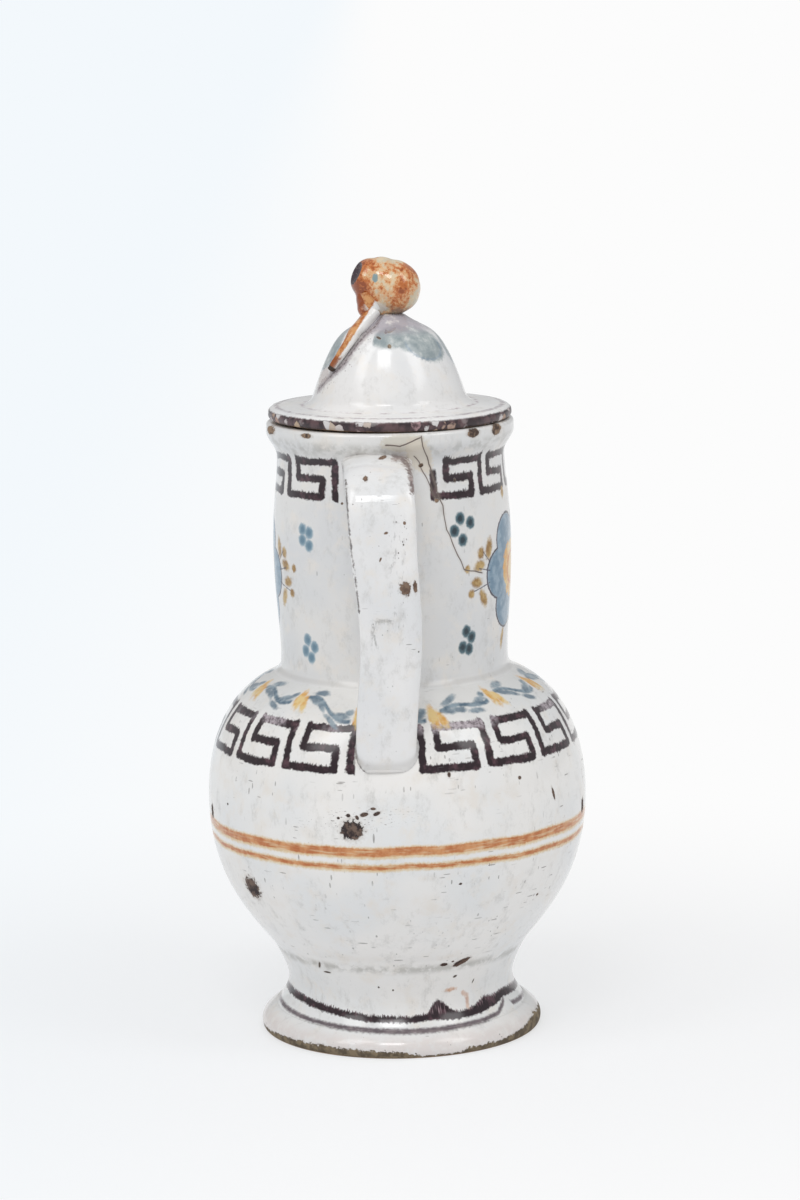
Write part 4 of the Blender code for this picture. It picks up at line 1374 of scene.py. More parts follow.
def swept(rings: Sequence[Sequence[Vector]]) -> bmesh.types.BMesh:
    """Extrude a first ring of points through all the others, with flat ends.

    Args:
        rings: The rings, each with the same number of points.

    Returns:
        The form, with its faces outwards.
    """
    form = bmesh.new()
    made = bmesh.ops.create_circle(form, cap_ends=True, radius=1.0, segments=len(rings[0]))
    verts = list(made["verts"])
    for vert, point in zip(verts, rings[0]):
        vert.co = point
    end = form.faces[:][0]
    for ring in rings[1:]:
        order = {tuple(vert.co): index for index, vert in enumerate(verts)}
        result = bmesh.ops.extrude_face_region(form, geom=[end], use_keep_orig=ring is rings[1])
        fresh = [item for item in result["geom"] if isinstance(item, bmesh.types.BMVert)]
        end = next(item for item in result["geom"] if isinstance(item, bmesh.types.BMFace))
        placed = [None] * len(fresh)
        for vert in fresh:
            placed[order[tuple(vert.co)]] = vert
        for vert, point in zip(placed, ring):
            vert.co = point
        verts = placed
    bmesh.ops.recalc_face_normals(form, faces=form.faces)
    return form


def meshed(name: str, form: bmesh.types.BMesh) -> bpy.types.Mesh:
    """Return a mesh of a form, which is used up.

    Args:
        name: The mesh's name.
        form: The form.

    Returns:
        The mesh.
    """
    mesh = bpy.data.meshes.new(name)
    form.to_mesh(mesh)
    form.free()
    return mesh


def linked(name: str, data: bpy.types.ID) -> bpy.types.Object:
    """Return a new object of some data, linked to the scene.

    Args:
        name: The object's name.
        data: Its data.

    Returns:
        The object.
    """
    item = bpy.data.objects.new(name, data)
    bpy.context.scene.collection.objects.link(item)
    return item


def make_piece(name: str, form: bmesh.types.BMesh, materials: Sequence[bpy.types.Material],
               body: Body, replaced: Sequence[str] = (),
               sharp: float = 40.0) -> bpy.types.Object:
    """Make an object of a form and tie it to the frame.

    Args:
        name: The piece's name.
        form: Its form, which is used up.
        materials: Its materials, in the order of the faces' numbers.
        body: The body that it rides on.
        replaced: The nodes that it stands for.
        sharp: Edges above this angle in degrees stay sharp.

    Returns:
        The object.
    """
    mesh = meshed(name, form)
    mesh.shade_smooth()
    mesh.set_sharp_from_angle(angle=math.radians(sharp))
    for material in materials:
        mesh.materials.append(material)
    item = linked(name, mesh)
    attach(item, body.value)
    if replaced:
        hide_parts(*replaced)
    LOG.info("%s: %d faces, rides on %s", name, len(mesh.polygons), body.value)
    return item


def paint_inside(form: bmesh.types.BMesh, number: int, below: float = -1.0) -> None:
    """Give faces that look at the axis, or down near the stand, another material.

    Args:
        form: The form.
        number: The material's number.
        below: Faces that look down under this height are taken too.
    """
    for face in form.faces:
        centre = face.calc_center_median()
        radial = Vector((centre.x, centre.y, 0.0))
        inwards = radial.length > 1e-6 and face.normal.dot(radial.normalized()) < -0.2
        if inwards or (face.normal.z < -0.6 and centre.z < below):
            face.material_index = number


# ---------------------------------------------------------------- the vase's wall


@dataclass
class Wall:
    """The outer line of the thrown wall, from the stand to the lip, in metres.

    The foot, belly and neck are parts of this one line, so that their glaze runs over the
    luted joints without a gap.
    """

    foot_radius: float = 0.0547
    edge_round: float = 0.0014
    rim_height: float = 0.0028
    step_radius: float = 0.0492
    step_height: float = 0.0093
    step_depth: float = 0.0008
    step_drop: float = 0.0003
    foot_waist: Pair = (0.0438, 0.0200)
    foot_top: Pair = (0.0474, 0.0316)
    seat_edge: Pair = (0.0474, 0.03276)
    seat_lean: float = 40.5
    belly_radius: float = 0.0734
    equator: float = 0.09296
    shoulder: Pair = (0.0460, 0.14076)
    shoulder_lean: float = 71.0
    neck_waist: Pair = (0.0439, 0.14996)
    neck_bulge: Pair = (0.0459, 0.18796)
    throat: Pair = (0.0437, 0.22456)
    lip: Pair = (0.0476, 0.23456)
    foot_joint: float = 0.0322
    neck_joint: float = 0.1410
    outline: Outline = field(default_factory=list)
    heights: list[float] = field(default_factory=list)

    def __post_init__(self) -> None:
        """Draw the whole line once."""
        line = spaced(self.foot_line() + self.bowl_line() + self.neck_line(), 0.0005)
        line = softened(line, self.foot_joint, 0.0055, 90)
        line = softened(line, self.neck_joint, 0.0026, 16)
        self.outline = line
        self.heights = [point.y for point in line]

    def foot_line(self) -> Outline:
        """Return the line from the step's ledge to the foot's top.

        Returns:
            The outline.
        """
        ledge = Vector((self.step_radius - self.step_depth, self.step_height + self.step_drop))
        waist, top = Vector(self.foot_waist), Vector(self.foot_top)
        up = Vector((0.0, 1.0))
        cove, rise = waist.y - ledge.y, top.y - waist.y
        points = arc(ledge, lean(-25.0) * cove * 0.18, waist, up * cove * 0.45, 24)
        return points + arc(waist, up * rise * 0.33, top, lean(17.0) * rise * 0.33, 20)[1:]

    def bowl_line(self) -> Outline:
        """Return the line from the bowl's seat to its top.

        Returns:
            The outline.
        """
        seat_step, top_step = lean(self.seat_lean), lean(-self.shoulder_lean)
        start, end = Vector(self.seat_edge), Vector(self.shoulder)
        middle = Vector((self.belly_radius, self.equator))
        seat_pull = (middle.x - start.x) * 0.547 / seat_step.x
        top_pull = (middle.x - end.x) * 0.925 / -top_step.x
        lower = arc(start, seat_step * seat_pull,
                    middle, Vector((0.0, middle.y - start.y)) * 0.488, 60)
        upper = arc(middle, Vector((0.0, end.y - middle.y)) * 0.195,
                    end, top_step * top_pull, 60)
        return lower + upper[1:]

    def neck_line(self) -> Outline:
        """Return the line from the neck's base to the lip.

        Returns:
            The outline.
        """
        base = Vector((self.shoulder[0], self.shoulder[1] + 0.0003))
        waist, bulge = Vector(self.neck_waist), Vector(self.neck_bulge)
        throat, lip = Vector(self.throat), Vector(self.lip)
        up = Vector((0.0, 1.0))
        stretches = (
            (base, lean(-50.0), 0.35, waist, 0.45, 12), (waist, up, 0.24, bulge, 0.46, 24),
            (bulge, up, 0.55, throat, 0.22, 24), (throat, up, 0.45, lip, 0.35, 12))
        points = [base]
        for start, leave, pull, end, push, count in stretches:
            rise = end.y - start.y
            points += arc(start, leave * rise * pull, end, up * rise * push, count)[1:]
        return points

    def between(self, low: float, high: float) -> Outline:
        """Return the line's stretch between two heights, with exact ends."""
        inner = [point for point in self.outline if low + 1e-5 < point.y < high - 1e-5]
        return [Vector((self.radius(low), low))] + inner + [Vector((self.radius(high), high))]

    def radius(self, height: float) -> float:
        """Return the wall's outer radius at a height.

        Args:
            height: The height.

        Returns:
            The radius.
        """
        index = bisect_left(self.heights, height)
        if index == 0 or index == len(self.heights):
            return self.outline[min(index, len(self.heights) - 1)].x
        near, far = self.outline[index - 1], self.outline[index]
        return near.x + (far.x - near.x) * (height - near.y) / max(far.y - near.y, 1e-9)

    def distance(self, point: Vector) -> float:
        """Return how far a point stands off the wall, less than zero inside it.

        Args:
            point: The point.

        Returns:
            The distance.
        """
        step = 0.0006
        slope = (self.radius(point.z + step) - self.radius(point.z - step)) / (2.0 * step)
        away = math.hypot(point.x, point.y) - self.radius(point.z)
        return away / math.sqrt(1.0 + slope * slope)


@dataclass
class Foot:
    """The spreading foot: a moulded rim, a cove and a hollow underneath."""

    wall: Wall
    standing_width: float = 0.0075
    bore_radius: float = 0.0372
    bore_depth: float = 0.0156
    seat_land: float = 0.0007
    seat_low: Pair = (0.0372, 0.0204)

    def section(self) -> Outline:
        """Return the foot's closed section.

        Returns:
            The section.
        """
        wall, up = self.wall, Vector((0.0, 1.0))
        standing = Vector((wall.foot_radius - wall.edge_round, 0.0))
        rim = Vector((wall.foot_radius, wall.rim_height))
        edge = Vector((wall.step_radius, wall.step_height))
        inner = Vector((standing.x - self.standing_width, 0.0))
        bore = Vector((self.bore_radius, self.bore_depth))
        points = arc(standing, Vector((wall.edge_round * 0.55, 0.0)),
                     rim, up * wall.rim_height * 0.55, 8)
        points += arc(rim, up * wall.rim_height, edge, lean(-62.0) * wall.rim_height, 22)[1:]
        shoulder = wall.between(wall.step_height + wall.step_drop + 0.0002, wall.foot_joint)
        points += rounded(Vector((shoulder[0].x, edge.y)), points[-1], shoulder[1], 0.0004, 3)
        points += shoulder[2:]
        points += [points[-1] - Vector((self.seat_land, 0.0002)), Vector(self.seat_low)]
        return points + arc(bore, -up * self.bore_depth * 0.33,
                            inner, -up * self.bore_depth * 0.18, 10)

    def build(self) -> bpy.types.Object:
        """Make the foot and return it.

        Returns:
            The piece.
        """
        form = turned(self.section(), touch=hand_throw)
        paint_inside(form, 1, 0.0006)
        glaze = FootGlaze().material("foot_glaze")
        return make_piece("vase_foot", form, [glaze, BareClay().material("foot_clay")],
                          Body.VASE, ["foot"])


@dataclass
class Belly:
    """The round bowl between the foot and the neck, hollow inside."""

    wall: Wall
    thickness: float = 0.0055
    floor: Pair = (0.0378, 0.0215)
    mouth: float = 0.0402

    def inner_line(self) -> Outline:
        """Return the inner line from the axis over the floor to below the mouth.

        Returns:
            The outline.
        """
        outer = self.wall.between(0.040, self.wall.shoulder[1] - 0.004)
        shifted = []
        for before, point, after in zip(outer, outer[1:], outer[2:]):
            along = (after - before).normalized()
            shifted.append(point + Vector((-along.y, along.x)) * self.thickness)
        base = self.floor[1] + self.thickness
        bottom = [Vector((0.0, base)), Vector((self.floor[0] * 0.55, base))]
        cove = arc(bottom[1], Vector((0.010, 0.0)), shifted[0],
                   (shifted[1] - shifted[0]).normalized() * 0.009, 14)
        return bottom[:1] + cove + shifted[1::3] + shifted[-1:]

    def build(self) -> bpy.types.Object:
        """Make the belly and return it.

        Returns:
            The piece.
        """
        wall = self.wall
        outer = wall.between(wall.foot_joint, wall.neck_joint)
        inner = self.inner_line()
        top = Vector((self.mouth, wall.neck_joint))
        low = Vector((self.mouth, inner[-1].y + 0.0028))
        loop = [Vector((0.0, self.floor[1])), Vector(self.floor)] + outer + [top, low]
        form = turned(loop + inner[::-1], touch=hand_throw)
        paint_inside(form, 1)
        for face in form.faces:
            centre = face.calc_center_median()
            if centre.z < self.floor[1] + 0.012 and face.normal.z > 0.3:
                face.material_index = 1
        glaze = BellyGlaze().material("body_glaze")
        return make_piece("vase_belly", form, [glaze, TinGlaze().material("inside_glaze")],
                          Body.VASE, ["belly"])


@dataclass
class Neck:
    """The tall collar with its lip, open at the top."""

    wall: Wall
    thickness: float = 0.0055
    spigot: float = 0.0399
    spigot_wall: float = 0.0022
    spigot_depth: float = 0.0040
    lip_round: float = 0.0016

    def section(self) -> Outline:
        """Return the neck's closed section.

        Returns:
            The section.
        """
        wall = self.wall
        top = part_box("neck")[1].z
        outer = wall.between(wall.neck_joint, wall.lip[1] - 0.0002)
        bore = wall.throat[0] - self.thickness
        lip, inner_lip = Vector((wall.lip[0], top)), Vector((bore, top))
        points = outer + rounded(lip, outer[-1], inner_lip, self.lip_round, 8)
        points += rounded(inner_lip, lip, Vector((bore, wall.throat[1])), self.lip_round, 6)
        inside = wall.between(wall.neck_waist[1], wall.throat[1])[::6]
        points += [Vector((point.x - self.thickness, point.y)) for point in inside[::-1]]
        base = wall.neck_joint
        inner = self.spigot - self.spigot_wall
        return points + [Vector((inner, base + 0.004)), Vector((inner, base - self.spigot_depth)),
                         Vector((self.spigot, base - self.spigot_depth)),
                         Vector((self.spigot, base))]

    def build(self) -> bpy.types.Object:
        """Make the neck and return it.

        Returns:
            The piece.
        """
        form = turned(self.section(), touch=hand_throw)
        paint_inside(form, 1)
        glaze = NeckGlaze().material("neck_glaze")
        inside = TinGlaze().material("neck_inside_glaze")
        return make_piece("vase_neck", form, [glaze, inside], Body.VASE, ["neck"])


@dataclass
class Strap:
    """A flat strap handle from under the lip to the shoulder, luted on with soft fillets."""

    wall: Wall
    side: Side
    top_width: float = 0.0268
    middle_width: float = 0.0234
    tongue_width: float = 0.0230
    thickness: float = 0.0080
    top_drop: float = 0.0115
    crown_drop: float = 0.0300
    crown_radius: float = 0.0737
    tongue_height: float = 0.12296
    tip_length: float = 0.0114
    tip_follow: float = 0.65
    tip_end: float = 0.985
    narrow_power: float = 1.9
    thin_power: float = 1.7
    proud: float = 0.0050
    dive: float = 0.0046
    top_sway: float = -0.0052
    middle_sway: float = -0.0011
    tongue_sway: float = -0.0036
    crown_share: float = 0.40
    top_fillet: float = 0.0006
    tongue_fillet: float = 0.0016
    bend_steps: int = 30
    drop_steps: int = 44
    tip_steps: int = 14
    sides: int = 72
    rim: float = field(default_factory=lambda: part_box("neck")[1].z)

    def stations(self) -> list[tuple[Vector, float, float]]:
        """Return the centre line's points, each with its sway and width.

        Returns:
            The points.
        """
        start = Vector((self.wall.throat[0] - 0.0052, self.rim - self.top_drop))
        crown = Vector((self.crown_radius, self.rim - self.crown_drop))
        end = Vector((self.wall.radius(self.tongue_height) + self.proud - self.thickness / 2.0,
                      self.tongue_height))
        bend, drop = crown.x - start.x, crown.y - end.y
        down = Vector((0.0, -1.0))
        first = arc(start, Vector((bend * 0.75, 0.0)), crown, down * self.crown_drop * 0.38,
                    self.bend_steps)
        second = arc(crown, down * drop * 0.33, end, -lean(4.0) * drop * 0.33, self.drop_steps)
        crown_width = mix(self.top_width, self.middle_width, self.crown_share)
        crown_sway = mix(self.top_sway, self.middle_sway, self.crown_share)
        result = []
        for index, point in enumerate(first):
            place = index / self.bend_steps
            result.append((point, mix(self.top_sway, crown_sway, place),
                           mix(self.top_width, crown_width, place)))
        for index, point in enumerate(second[1:], start=1):
            place = index / self.drop_steps
            settle, spread = eased(place * 2.0), eased(place * 2.0 - 1.0)
            sway = mix(crown_sway, self.middle_sway, settle)
            width = mix(crown_width, self.middle_width, settle)
            result.append((point, sway + (self.tongue_sway - self.middle_sway) * spread,
                           width + (self.tongue_width - self.middle_width) * spread))
        return result

    def profile(self, width: float, thickness: float, square: float = 1.0) -> list[Pair]:
        """Return the strap's section across and through: flat faces with round edges.

        Args:
            width: The width.
            thickness: The thickness.
            square: How square the section is.

        Returns:
            The section's points.
        """
        points = []
        for index in range(self.sides):
            turn = math.tau * (index + 0.5) / self.sides
            across, through = (math.copysign(abs(part) ** power, part) for part, power in (
                (math.cos(turn), 0.80 - 0.38 * square), (math.sin(turn), 0.92 - 0.30 * square)))
            points.append((across * width / 2.0, through * thickness / 2.0))
        return points

    def rings(self) -> list[list[Vector]]:
        """Return the strap's rings from inside the neck to the tongue's tip.

        Returns:
            The rings.
        """
        stations, twice_belly = self.stations(), 2.0 * self.wall.belly_radius
        line = [point for point, _, _ in stations]
        rings = []
        for index, (point, sway, width) in enumerate(stations):
            along = heading(line, index)
            outwards = Vector((-along.y, along.x))
            hug = max(0.0, (index - self.bend_steps) / self.drop_steps)
            square = eased(index / self.bend_steps * 1.6)
            ring = []
            for across, through in self.profile(width, self.thickness, square):
                place = point + outwards * through
                wrap = hug * across ** 2 / twice_belly
                ring.append(Vector((place.x - wrap, sway + across, place.y)))
            rings.append(ring)
        point, sway, width = stations[-1]
        for step in range(1, self.tip_steps + 1):
            share = math.sin(math.pi / 2.0 * step / self.tip_steps) * self.tip_end
            narrow, thin = ((1.0 - share ** power) ** (1.0 / power)
                            for power in (self.narrow_power, self.thin_power))
            height = point.y - self.tip_length * share
            bulge = self.wall.radius(height) - self.wall.radius(point.y)
            ring = []
            for across, through in self.profile(width * narrow, self.thickness * thin):
                wrap = across ** 2 / twice_belly + self.dive * (1.0 - thin)
                ring.append(Vector((point.x + through - wrap + bulge * self.tip_follow * share,
                                    sway + across, height)))
            rings.append(ring)
        return rings

    def lute(self, form: bmesh.types.BMesh) -> None:
        """Spread the strap where it meets the wall, so that the joint is a soft fillet.

        Args:
            form: The form, which is changed.
        """
        form.normal_update()
        for vert in form.verts:
            high = vert.co.z > self.rim - 0.040
            reach = self.top_fillet if high else self.tongue_fillet
            gap = self.wall.distance(vert.co)
            if gap < reach:
                share = min(0.92, (reach - gap) / reach)
                vert.co += vert.normal * reach * (1.0 - math.sqrt(1.0 - share * share))

    def wobble(self, form: bmesh.types.BMesh) -> None:
        """Take a little off the faces unevenly, as on a strap pulled by hand.

        Args:
            form: The form, which is changed.
        """
        form.normal_update()
        for vert in form.verts:
            wave = noise.noise(vert.co * 55.0 + Vector((self.side.value, 0.0, 0.0)))
            fine = noise.noise(vert.co * 170.0)
            vert.co -= vert.normal * (0.00022 * (1.0 + wave) + 0.00005 * (1.0 + fine))

    def build(self) -> bpy.types.Object:
        """Make the strap and return it.

        Returns:
            The piece.
        """
        form = swept(self.rings())
        self.lute(form)
        self.wobble(form)
        turn = math.radians(self.side.value)
        bmesh.ops.rotate(form, cent=(0, 0, 0), matrix=Matrix.Rotation(turn, 3, "Z"),
                         verts=form.verts)
        near = self.side is Side.NEAR
        name = "strap_near" if near else "strap_far"
        glaze = StrapGlaze(side=self.side).material(name + "_glaze")
        return make_piece(name, form, [glaze], Body.VASE,
                          ["handle_right" if near else "handle_left"], 60.0)


# ---------------------------------------------------------------- the lid


@dataclass
class Lid:
    """The hollow bell with its flat, slightly warped flange."""

    flange_radius: float = 0.0468
    flange_thickness: float = 0.0046
    flange_round: float = 0.0018
    flange_slope: float = 0.0010
    dome_foot: float = 0.0333
    dome_radius: float = 0.0292
    dome_spring: float = 0.0095
    dome_height: float = 0.0391
    crown_radius: float = 0.0070
    crown_rise: float = 0.0014
    thickness: float = 0.0045
    warp: float = 0.0006
    base: float = field(default_factory=lambda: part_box("lid")[0].z)

    def dome_line(self, inset: float, count: int) -> Outline:
        """Return the dome's line from its springing to its crown, moved inwards.

        Args:
            inset: How far it is moved.
            count: Number of stretches.

        Returns:
            The outline.
        """
        base = self.base
        spring = Vector((self.dome_radius - inset, base + self.dome_spring))
        edge = Vector((self.crown_radius, base + self.dome_height)) - lean(36.4) * inset
        crown = Vector((0.0, base + self.dome_height + self.crown_rise - inset))
        spring_pull = (edge.y - spring.y) * 0.96 / lean(18.4).y
        crown_pull = (spring.x - edge.x) * 0.40 / lean(53.6).x
        points = arc(spring, lean(-18.4) * spring_pull, edge, lean(-53.6) * crown_pull, count)
        return points + arc(edge, lean(-53.6) * self.crown_rise,
                            crown, Vector((-self.crown_radius * 0.55, 0.0)), 8)[1:]

    def section(self) -> Outline:
        """Return the lid's section from the axis inside to the axis on the crown.

        Returns:
            The section.
        """
        base = self.base
        outer, inner = self.dome_line(0.0, 54), self.dome_line(self.thickness, 16)
        low = Vector((self.flange_radius, base))
        top = Vector((self.flange_radius, base + self.flange_thickness))
        flange = Vector((self.dome_foot, base + self.flange_thickness + self.flange_slope))
        opening = Vector((inner[0].x, base))
        points = inner[::-1] + spaced([opening, low - Vector((self.flange_round, 0.0))], 0.002)
        points += rounded(low, opening, top, self.flange_round, 8)
        points += rounded(top, low, flange, self.flange_round, 10)
        points += spaced([points[-1], flange], 0.0006)[1:-1]
        rise, width = outer[0].y - flange.y, flange.x - outer[0].x
        points += arc(flange, Vector((-width * 0.55, 0.0)), outer[0],
                      lean(-18.4) * rise * 0.55, 14)
        return points + outer[1:]

    def uneven(self, point: Vector) -> Vector:
        """Return a point of the lid as bent in firing and chipped round the flange.

        Args:
            point: The point.

        Returns:
            The moved point.
        """
        away = Vector((point.x, point.y, 0.0))
        radius = away.length
        if radius < 0.030:
            return hand_throw(point)
        share = eased((radius - 0.030) / 0.014)
        lifted = eased((0.012 - point.y) / 0.052)
        edge = eased((radius - 0.0430) / 0.0035)
        lump = noise.noise(point * 210.0)
        broad = noise.noise(point * 65.0)
        inwards = edge * (0.00018 * (1.0 + broad) + 0.00022 * (1.0 + lump))
        moved = point - away.normalized() * inwards
        moved.z += self.warp * share * lifted
        if point.z > self.base + 0.002:
            moved.z -= edge * 0.00022 * (1.0 + noise.noise(point * 120.0))
        return moved

    def build(self) -> bpy.types.Object:
        """Make the lid and return it.

        Returns:
            The piece.
        """
        form = turned(self.section(), touch=self.uneven)
        clay = BareClay().material("lid_clay")
        for face in form.faces:
            centre = face.calc_center_median()
            if face.normal.z < -0.5 and math.hypot(centre.x, centre.y) < 0.0455:
                face.material_index = 1
        return make_piece("lid_bell", form, [LidGlaze().material("lid_glaze"), clay],
                          Body.LID, ["lid"])


@dataclass
class LocatingRing:
    """The ring of bare clay under the lid that keeps it in the mouth."""

    width: float = 0.0045
    chamfer: float = 0.0014

    def build(self) -> bpy.types.Object:
        """Make the ring and return it.

        Returns:
            The piece.
        """
        low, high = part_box("lid_locating_ring")
        outer, inner = high.x, high.x - self.width
        corners = [Vector((inner, high.z)), Vector((inner, low.z)),
                   Vector((outer - self.chamfer, low.z)), Vector((outer, low.z + self.chamfer)),
                   Vector((outer, high.z))]
        loop = spaced([corners[0], corners[1]], 0.001)
        loop += rounded(corners[1], corners[0], corners[2], 0.0006, 4)
        loop += spaced([corners[2], corners[3]], 0.0005) + spaced([corners[3], corners[4]], 0.001)
        form = turned(loop, touch=hand_throw)
        return make_piece("locating_ring", form, [BareClay().material("ring_clay")],
                          Body.RING, ["lid_locating_ring"])


@dataclass
class Fruit:
    """The knob: a plump fruit on its side, with a withered blossom end and a swollen stalk."""

    blobs: tuple[tuple[float, ...], ...] = (
        (0.0, 0.0020, 0.2882, 0.0106, 0.0108, 0.0106),
        (0.0, -0.0052, 0.2912, 0.0088, 0.0088, 0.0085),
        (0.0, -0.0022, 0.2902, 0.0097, 0.0094, 0.0098),
        (0.0014, -0.0066, 0.2868, 0.0058, 0.0056, 0.0060),
        (0.0026, -0.0072, 0.2840, 0.0052, 0.0048, 0.0052),
        (0.0038, -0.0072, 0.2812, 0.0045, 0.0044, 0.0046),
        (0.0014, -0.0036, 0.2806, 0.0048, 0.0052, 0.0038),
    )
    calyx: Place = (0.0018, -0.0122, 0.2943)
    calyx_facing: tuple[float, float, float] = (0.40, -0.80, 0.44)
    calyx_radius: float = 0.0043

    def build(self) -> bpy.types.Object:
        """Make the fruit and return it.

        Returns:
            The piece.
        """
        form = bmesh.new()
        for blob in self.blobs:
            place = Matrix.Translation(blob[:3]) @ Matrix.Diagonal((*blob[3:], 1.0))
            bmesh.ops.create_icosphere(form, subdivisions=4, radius=1.0, matrix=place)
        rough = meshed("fruit_blobs", form)
        lump = linked("fruit_blobs", rough)
        merge = lump.modifiers.new("merge", "REMESH")
        merge.mode = "VOXEL"
        merge.voxel_size = 0.00036
        wear = lump.modifiers.new("wear", "SMOOTH")
        wear.factor = 0.6
        wear.iterations = 26
        graph = bpy.context.evaluated_depsgraph_get()
        solid = bpy.data.meshes.new_from_object(lump.evaluated_get(graph))
        bpy.data.objects.remove(lump)
        bpy.data.meshes.remove(rough)
        form = bmesh.new()
        form.from_mesh(solid)
        bpy.data.meshes.remove(solid)
        self.sculpt(form)
        glaze = FruitGlaze().material("fruit_glaze")
        return make_piece("fruit", form, [glaze], Body.LID, ["knob_fruit"], 80.0)

    def sculpt(self, form: bmesh.types.BMesh) -> None:
        """Press the blossom end in, roughen the skin and keep the fruit under the imported knob's
        top.

        Args:
            form: The merged form.
        """
        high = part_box("knob_fruit")[1].z
        centre, facing = Vector(self.calyx), Vector(self.calyx_facing).normalized()
        for vert in form.verts:
            offset = vert.co - centre
            depth = offset.dot(facing)
            aside = (offset - facing * depth).length / self.calyx_radius
            if aside < 1.25 and depth > -0.004:
                press = eased(max(0.0, 1.25 - aside) / 0.5)
                sink = max(0.0, depth + 0.0005) + 0.0009 * (1.0 - aside / 1.25)
                vert.co -= facing * press * sink
            vert.co += (vert.co - Vector((0.0, 0.0, 0.289))).normalized() * 0.00018 * noise.noise(
                vert.co * 260.0)
            vert.co.z = min(vert.co.z, high - 0.00005)
        bmesh.ops.recalc_face_normals(form, faces=form.faces)


@dataclass
class Twig:
    """The tapered twig from the fruit down the dome, to its broken and hollow end."""

    lid: Lid
    top_radius: float = 0.0039
    end_radius: float = 0.0014
    root_rise: float = 0.0080
    root_reach: float = 0.0057
    lift: float = 0.62
    top_azimuth: float = -57.0
    end_azimuth: float = -56.5
    end_drop: float = 0.0192
    bend: float = 14.0
    steps: int = 60
    sides: int = 36

    def dome_radius(self, dome: Outline, height: float) -> float:
        """Return the dome's radius at a height.

        Args:
            dome: The dome's outline.
            height: The height.

        Returns:
            The radius.
        """
        for near, far in zip(dome, dome[1:]):
            if near.y <= height <= far.y:
                return near.x + (far.x - near.x) * (height - near.y) / max(far.y - near.y, 1e-9)
        return dome[-1].x if height > dome[-1].y else dome[0].x

    def centres(self) -> list[tuple[Vector, float]]:
        """Return the centre line's points, each with the twig's radius.

        Returns:
            The points.
        """
        dome = self.lid.dome_line(0.0, 60)
        crown = self.lid.base + self.lid.dome_height
        top = crown + self.root_rise
        result = []
        for index in range(self.steps + 1):
            place = index / self.steps
            radius = mix(self.top_radius, self.end_radius, place)
            height = top - (top - crown + self.end_drop) * place
            azimuth = (mix(self.top_azimuth, self.end_azimuth, place)
                       + self.bend * math.sin(math.pi * place))
            reach = max(self.dome_radius(dome, height), self.root_reach) + radius * self.lift
            turn = math.radians(azimuth)
            result.append((Vector((reach * math.cos(turn), reach * math.sin(turn),
                                   height + radius * (1.0 - self.lift))), radius))
        return result

    def build(self) -> bpy.types.Object:
        """Make the twig and return it.

        Returns:
            The piece.
        """
        stations = self.centres()
        line = [centre for centre, _ in stations]
        rings = []
        for index, (centre, radius) in enumerate(stations):
            along = heading(line, index)
            side = along.cross(Vector((0.0, 0.0, 1.0))).normalized()
            rise = side.cross(along)
            ring = []
            for step in range(self.sides):
                turn = math.tau * step / self.sides
                ridge = 1.0 + 0.07 * math.cos(turn * 2.0 + 0.6) + 0.05 * math.cos(turn * 3.0)
                knot = 1.0 + 0.10 * noise.noise(centre * 260.0 + Vector((turn, 0.0, 0.0)))
                ring.append(centre + (side * math.cos(turn) + rise * math.sin(turn))
                            * radius * 0.93 * ridge * knot)
            rings.append(ring)
        form = swept(rings)
        end = line[-1]
        cap = min(form.faces, key=lambda face: (face.calc_center_median() - end).length)
        bmesh.ops.inset_region(form, faces=[cap], thickness=0.00045, use_even_offset=True)
        along = (line[-2] - end).normalized()
        bmesh.ops.translate(form, verts=cap.verts, vec=along * 0.0012)
        glaze = TwigGlaze().material("twig_glaze")
        return make_piece("twig", form, [glaze], Body.LID, ["knob_twig"], 60.0)


# ---------------------------------------------------------------- the studio


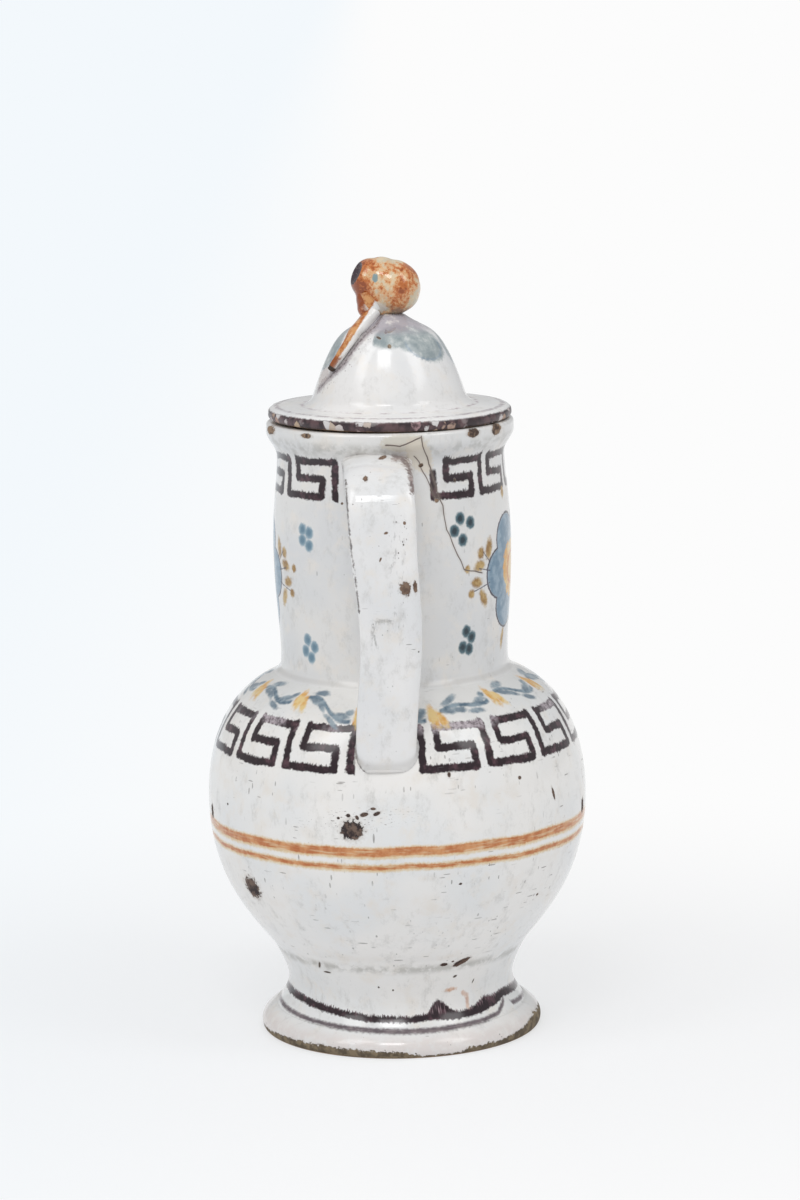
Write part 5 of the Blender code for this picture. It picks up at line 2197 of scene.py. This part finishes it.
@dataclass
class Studio:
    """The pale floor, the lamps and the camera of the photograph."""

    distance: float = 1.5318
    height: float = 0.43388
    pitch: float = 0.17218
    roll: float = 0.02008
    focal: float = 4032.35
    frame_height: float = 1200.0
    axis_shift: float = 6.6
    floor_size: float = 40.0
    aim_height: float = 0.16
    lamp_reach: float = 1.5
    room_light: float = 0.53

    def camera(self) -> None:
        """Place the camera at the photograph's viewing angle."""
        data = bpy.data.cameras.new("camera")
        data.sensor_width = 36.0
        data.lens = self.focal / self.frame_height * data.sensor_width
        data.shift_x = self.axis_shift / self.frame_height
        data.clip_start, data.clip_end = 0.05, 100.0
        right, up = Vector((0.0, 1.0, 0.0)), Vector((-math.sin(self.pitch), 0.0,
                                                     math.cos(self.pitch)))
        turned_right = right * math.cos(self.roll) - up * math.sin(self.roll)
        turned_up = right * math.sin(self.roll) + up * math.cos(self.roll)
        back = turned_right.cross(turned_up)
        item = linked("camera", data)
        matrix = Matrix((turned_right, turned_up, back)).transposed().to_4x4()
        matrix.translation = (self.distance, 0.0, self.height)
        item.matrix_world = matrix
        bpy.context.scene.camera = item

    def floor(self) -> None:
        """Make the pale floor, which turns to plain white away from the vase."""
        form = bmesh.new()
        bmesh.ops.create_circle(form, cap_ends=True, segments=96, radius=self.floor_size)
        mesh = meshed("floor", form)
        on = Surface("floor_white")
        tint = on.smooth(on.y * 0.001, -0.30, 0.02)
        white = on.blend(tint, tone(243, 248, 252), tone(252, 252, 252))
        far = on.smooth(on.radius * 0.001, 0.03, 0.42, 0.60)
        paths = on.node("ShaderNodeLightPath")
        seen = most(Value(on, paths.outputs[name]) for name in ("Is Camera Ray", "Is Glossy Ray"))
        on.feed(on.shader.inputs["Base Color"], tone(247, 249, 252))
        on.feed(on.shader.inputs["Roughness"], 0.6)
        glow = on.node("ShaderNodeEmission", {}, {"Color": white, "Strength": 1.0})
        mixed = on.node("ShaderNodeMixShader", {}, {
            0: far * seen, 1: on.shader.outputs[0], 2: glow.outputs[0]})
        on.feed(on.tree.nodes["Material Output"].inputs["Surface"], mixed.outputs[0])
        mesh.materials.append(on.material)
        linked("floor", mesh)

    def lamp(self, name: str, azimuth: float, elevation: float, size: Pair,
             power: float) -> None:
        """Add a soft lamp that looks at the vase.

        Args:
            name: Its name.
            azimuth: Its place round the axis, in degrees from +X towards +Y.
            elevation: Its height over the horizon, in degrees.
            size: Its width and height.
            power: Its power in watts.
        """
        data = bpy.data.lights.new(name, "AREA")
        data.shape = "RECTANGLE"
        data.size, data.size_y = size
        data.energy = power
        item = linked(name, data)
        turn, rise = math.radians(azimuth), math.radians(elevation)
        away = Vector((math.cos(turn) * math.cos(rise), math.sin(turn) * math.cos(rise),
                       math.sin(rise)))
        item.location = Vector((0.0, 0.0, self.aim_height)) + away * self.lamp_reach
        item.rotation_euler = away.to_track_quat("Z", "Y").to_euler()

    def sky(self) -> None:
        """Give the room its even light and a white background."""
        world = bpy.data.worlds.new("room")
        world.use_nodes = True
        bpy.context.scene.world = world
        tree = world.node_tree
        ground = tree.nodes["Background"]
        ground.inputs["Color"].default_value = (0.97, 0.985, 1.0, 1.0)
        ground.inputs["Strength"].default_value = self.room_light
        white = tree.nodes.new("ShaderNodeBackground")
        white.inputs["Color"].default_value = (*tone(252, 252, 252), 1.0)
        paths = tree.nodes.new("ShaderNodeLightPath")
        mixed = tree.nodes.new("ShaderNodeMixShader")
        shown = (paths.outputs["Is Camera Ray"], ground.outputs[0], white.outputs[0])
        for output, target in zip(shown, mixed.inputs):
            tree.links.new(output, target)
        tree.links.new(mixed.outputs[0], tree.nodes["World Output"].inputs["Surface"])

    def build(self) -> None:
        """Set the whole studio up."""
        self.camera()
        self.floor()
        self.sky()
        self.lamp("left_softbox", -54.0, 48.0, (0.45, 0.85), 3.8)
        self.lamp("front_softbox", -11.0, 51.0, (0.50, 0.40), 4.5)
        self.lamp("right_softbox", 58.0, 46.0, (0.50, 0.80), 3.7)
        bpy.context.scene.view_settings.view_transform = "Standard"


def main() -> None:
    """Build the vase, its lid and the studio."""
    logging.basicConfig(level=logging.INFO, format="%(message)s")
    Studio().build()
    wall = Wall()
    Foot(wall).build()
    Belly(wall).build()
    Neck(wall).build()
    for side in Side:
        Strap(wall, side).build()
    LocatingRing().build()
    lid = Lid()
    lid.build()
    Fruit().build()
    Twig(lid).build()


if __name__ == "__main__":
    main()
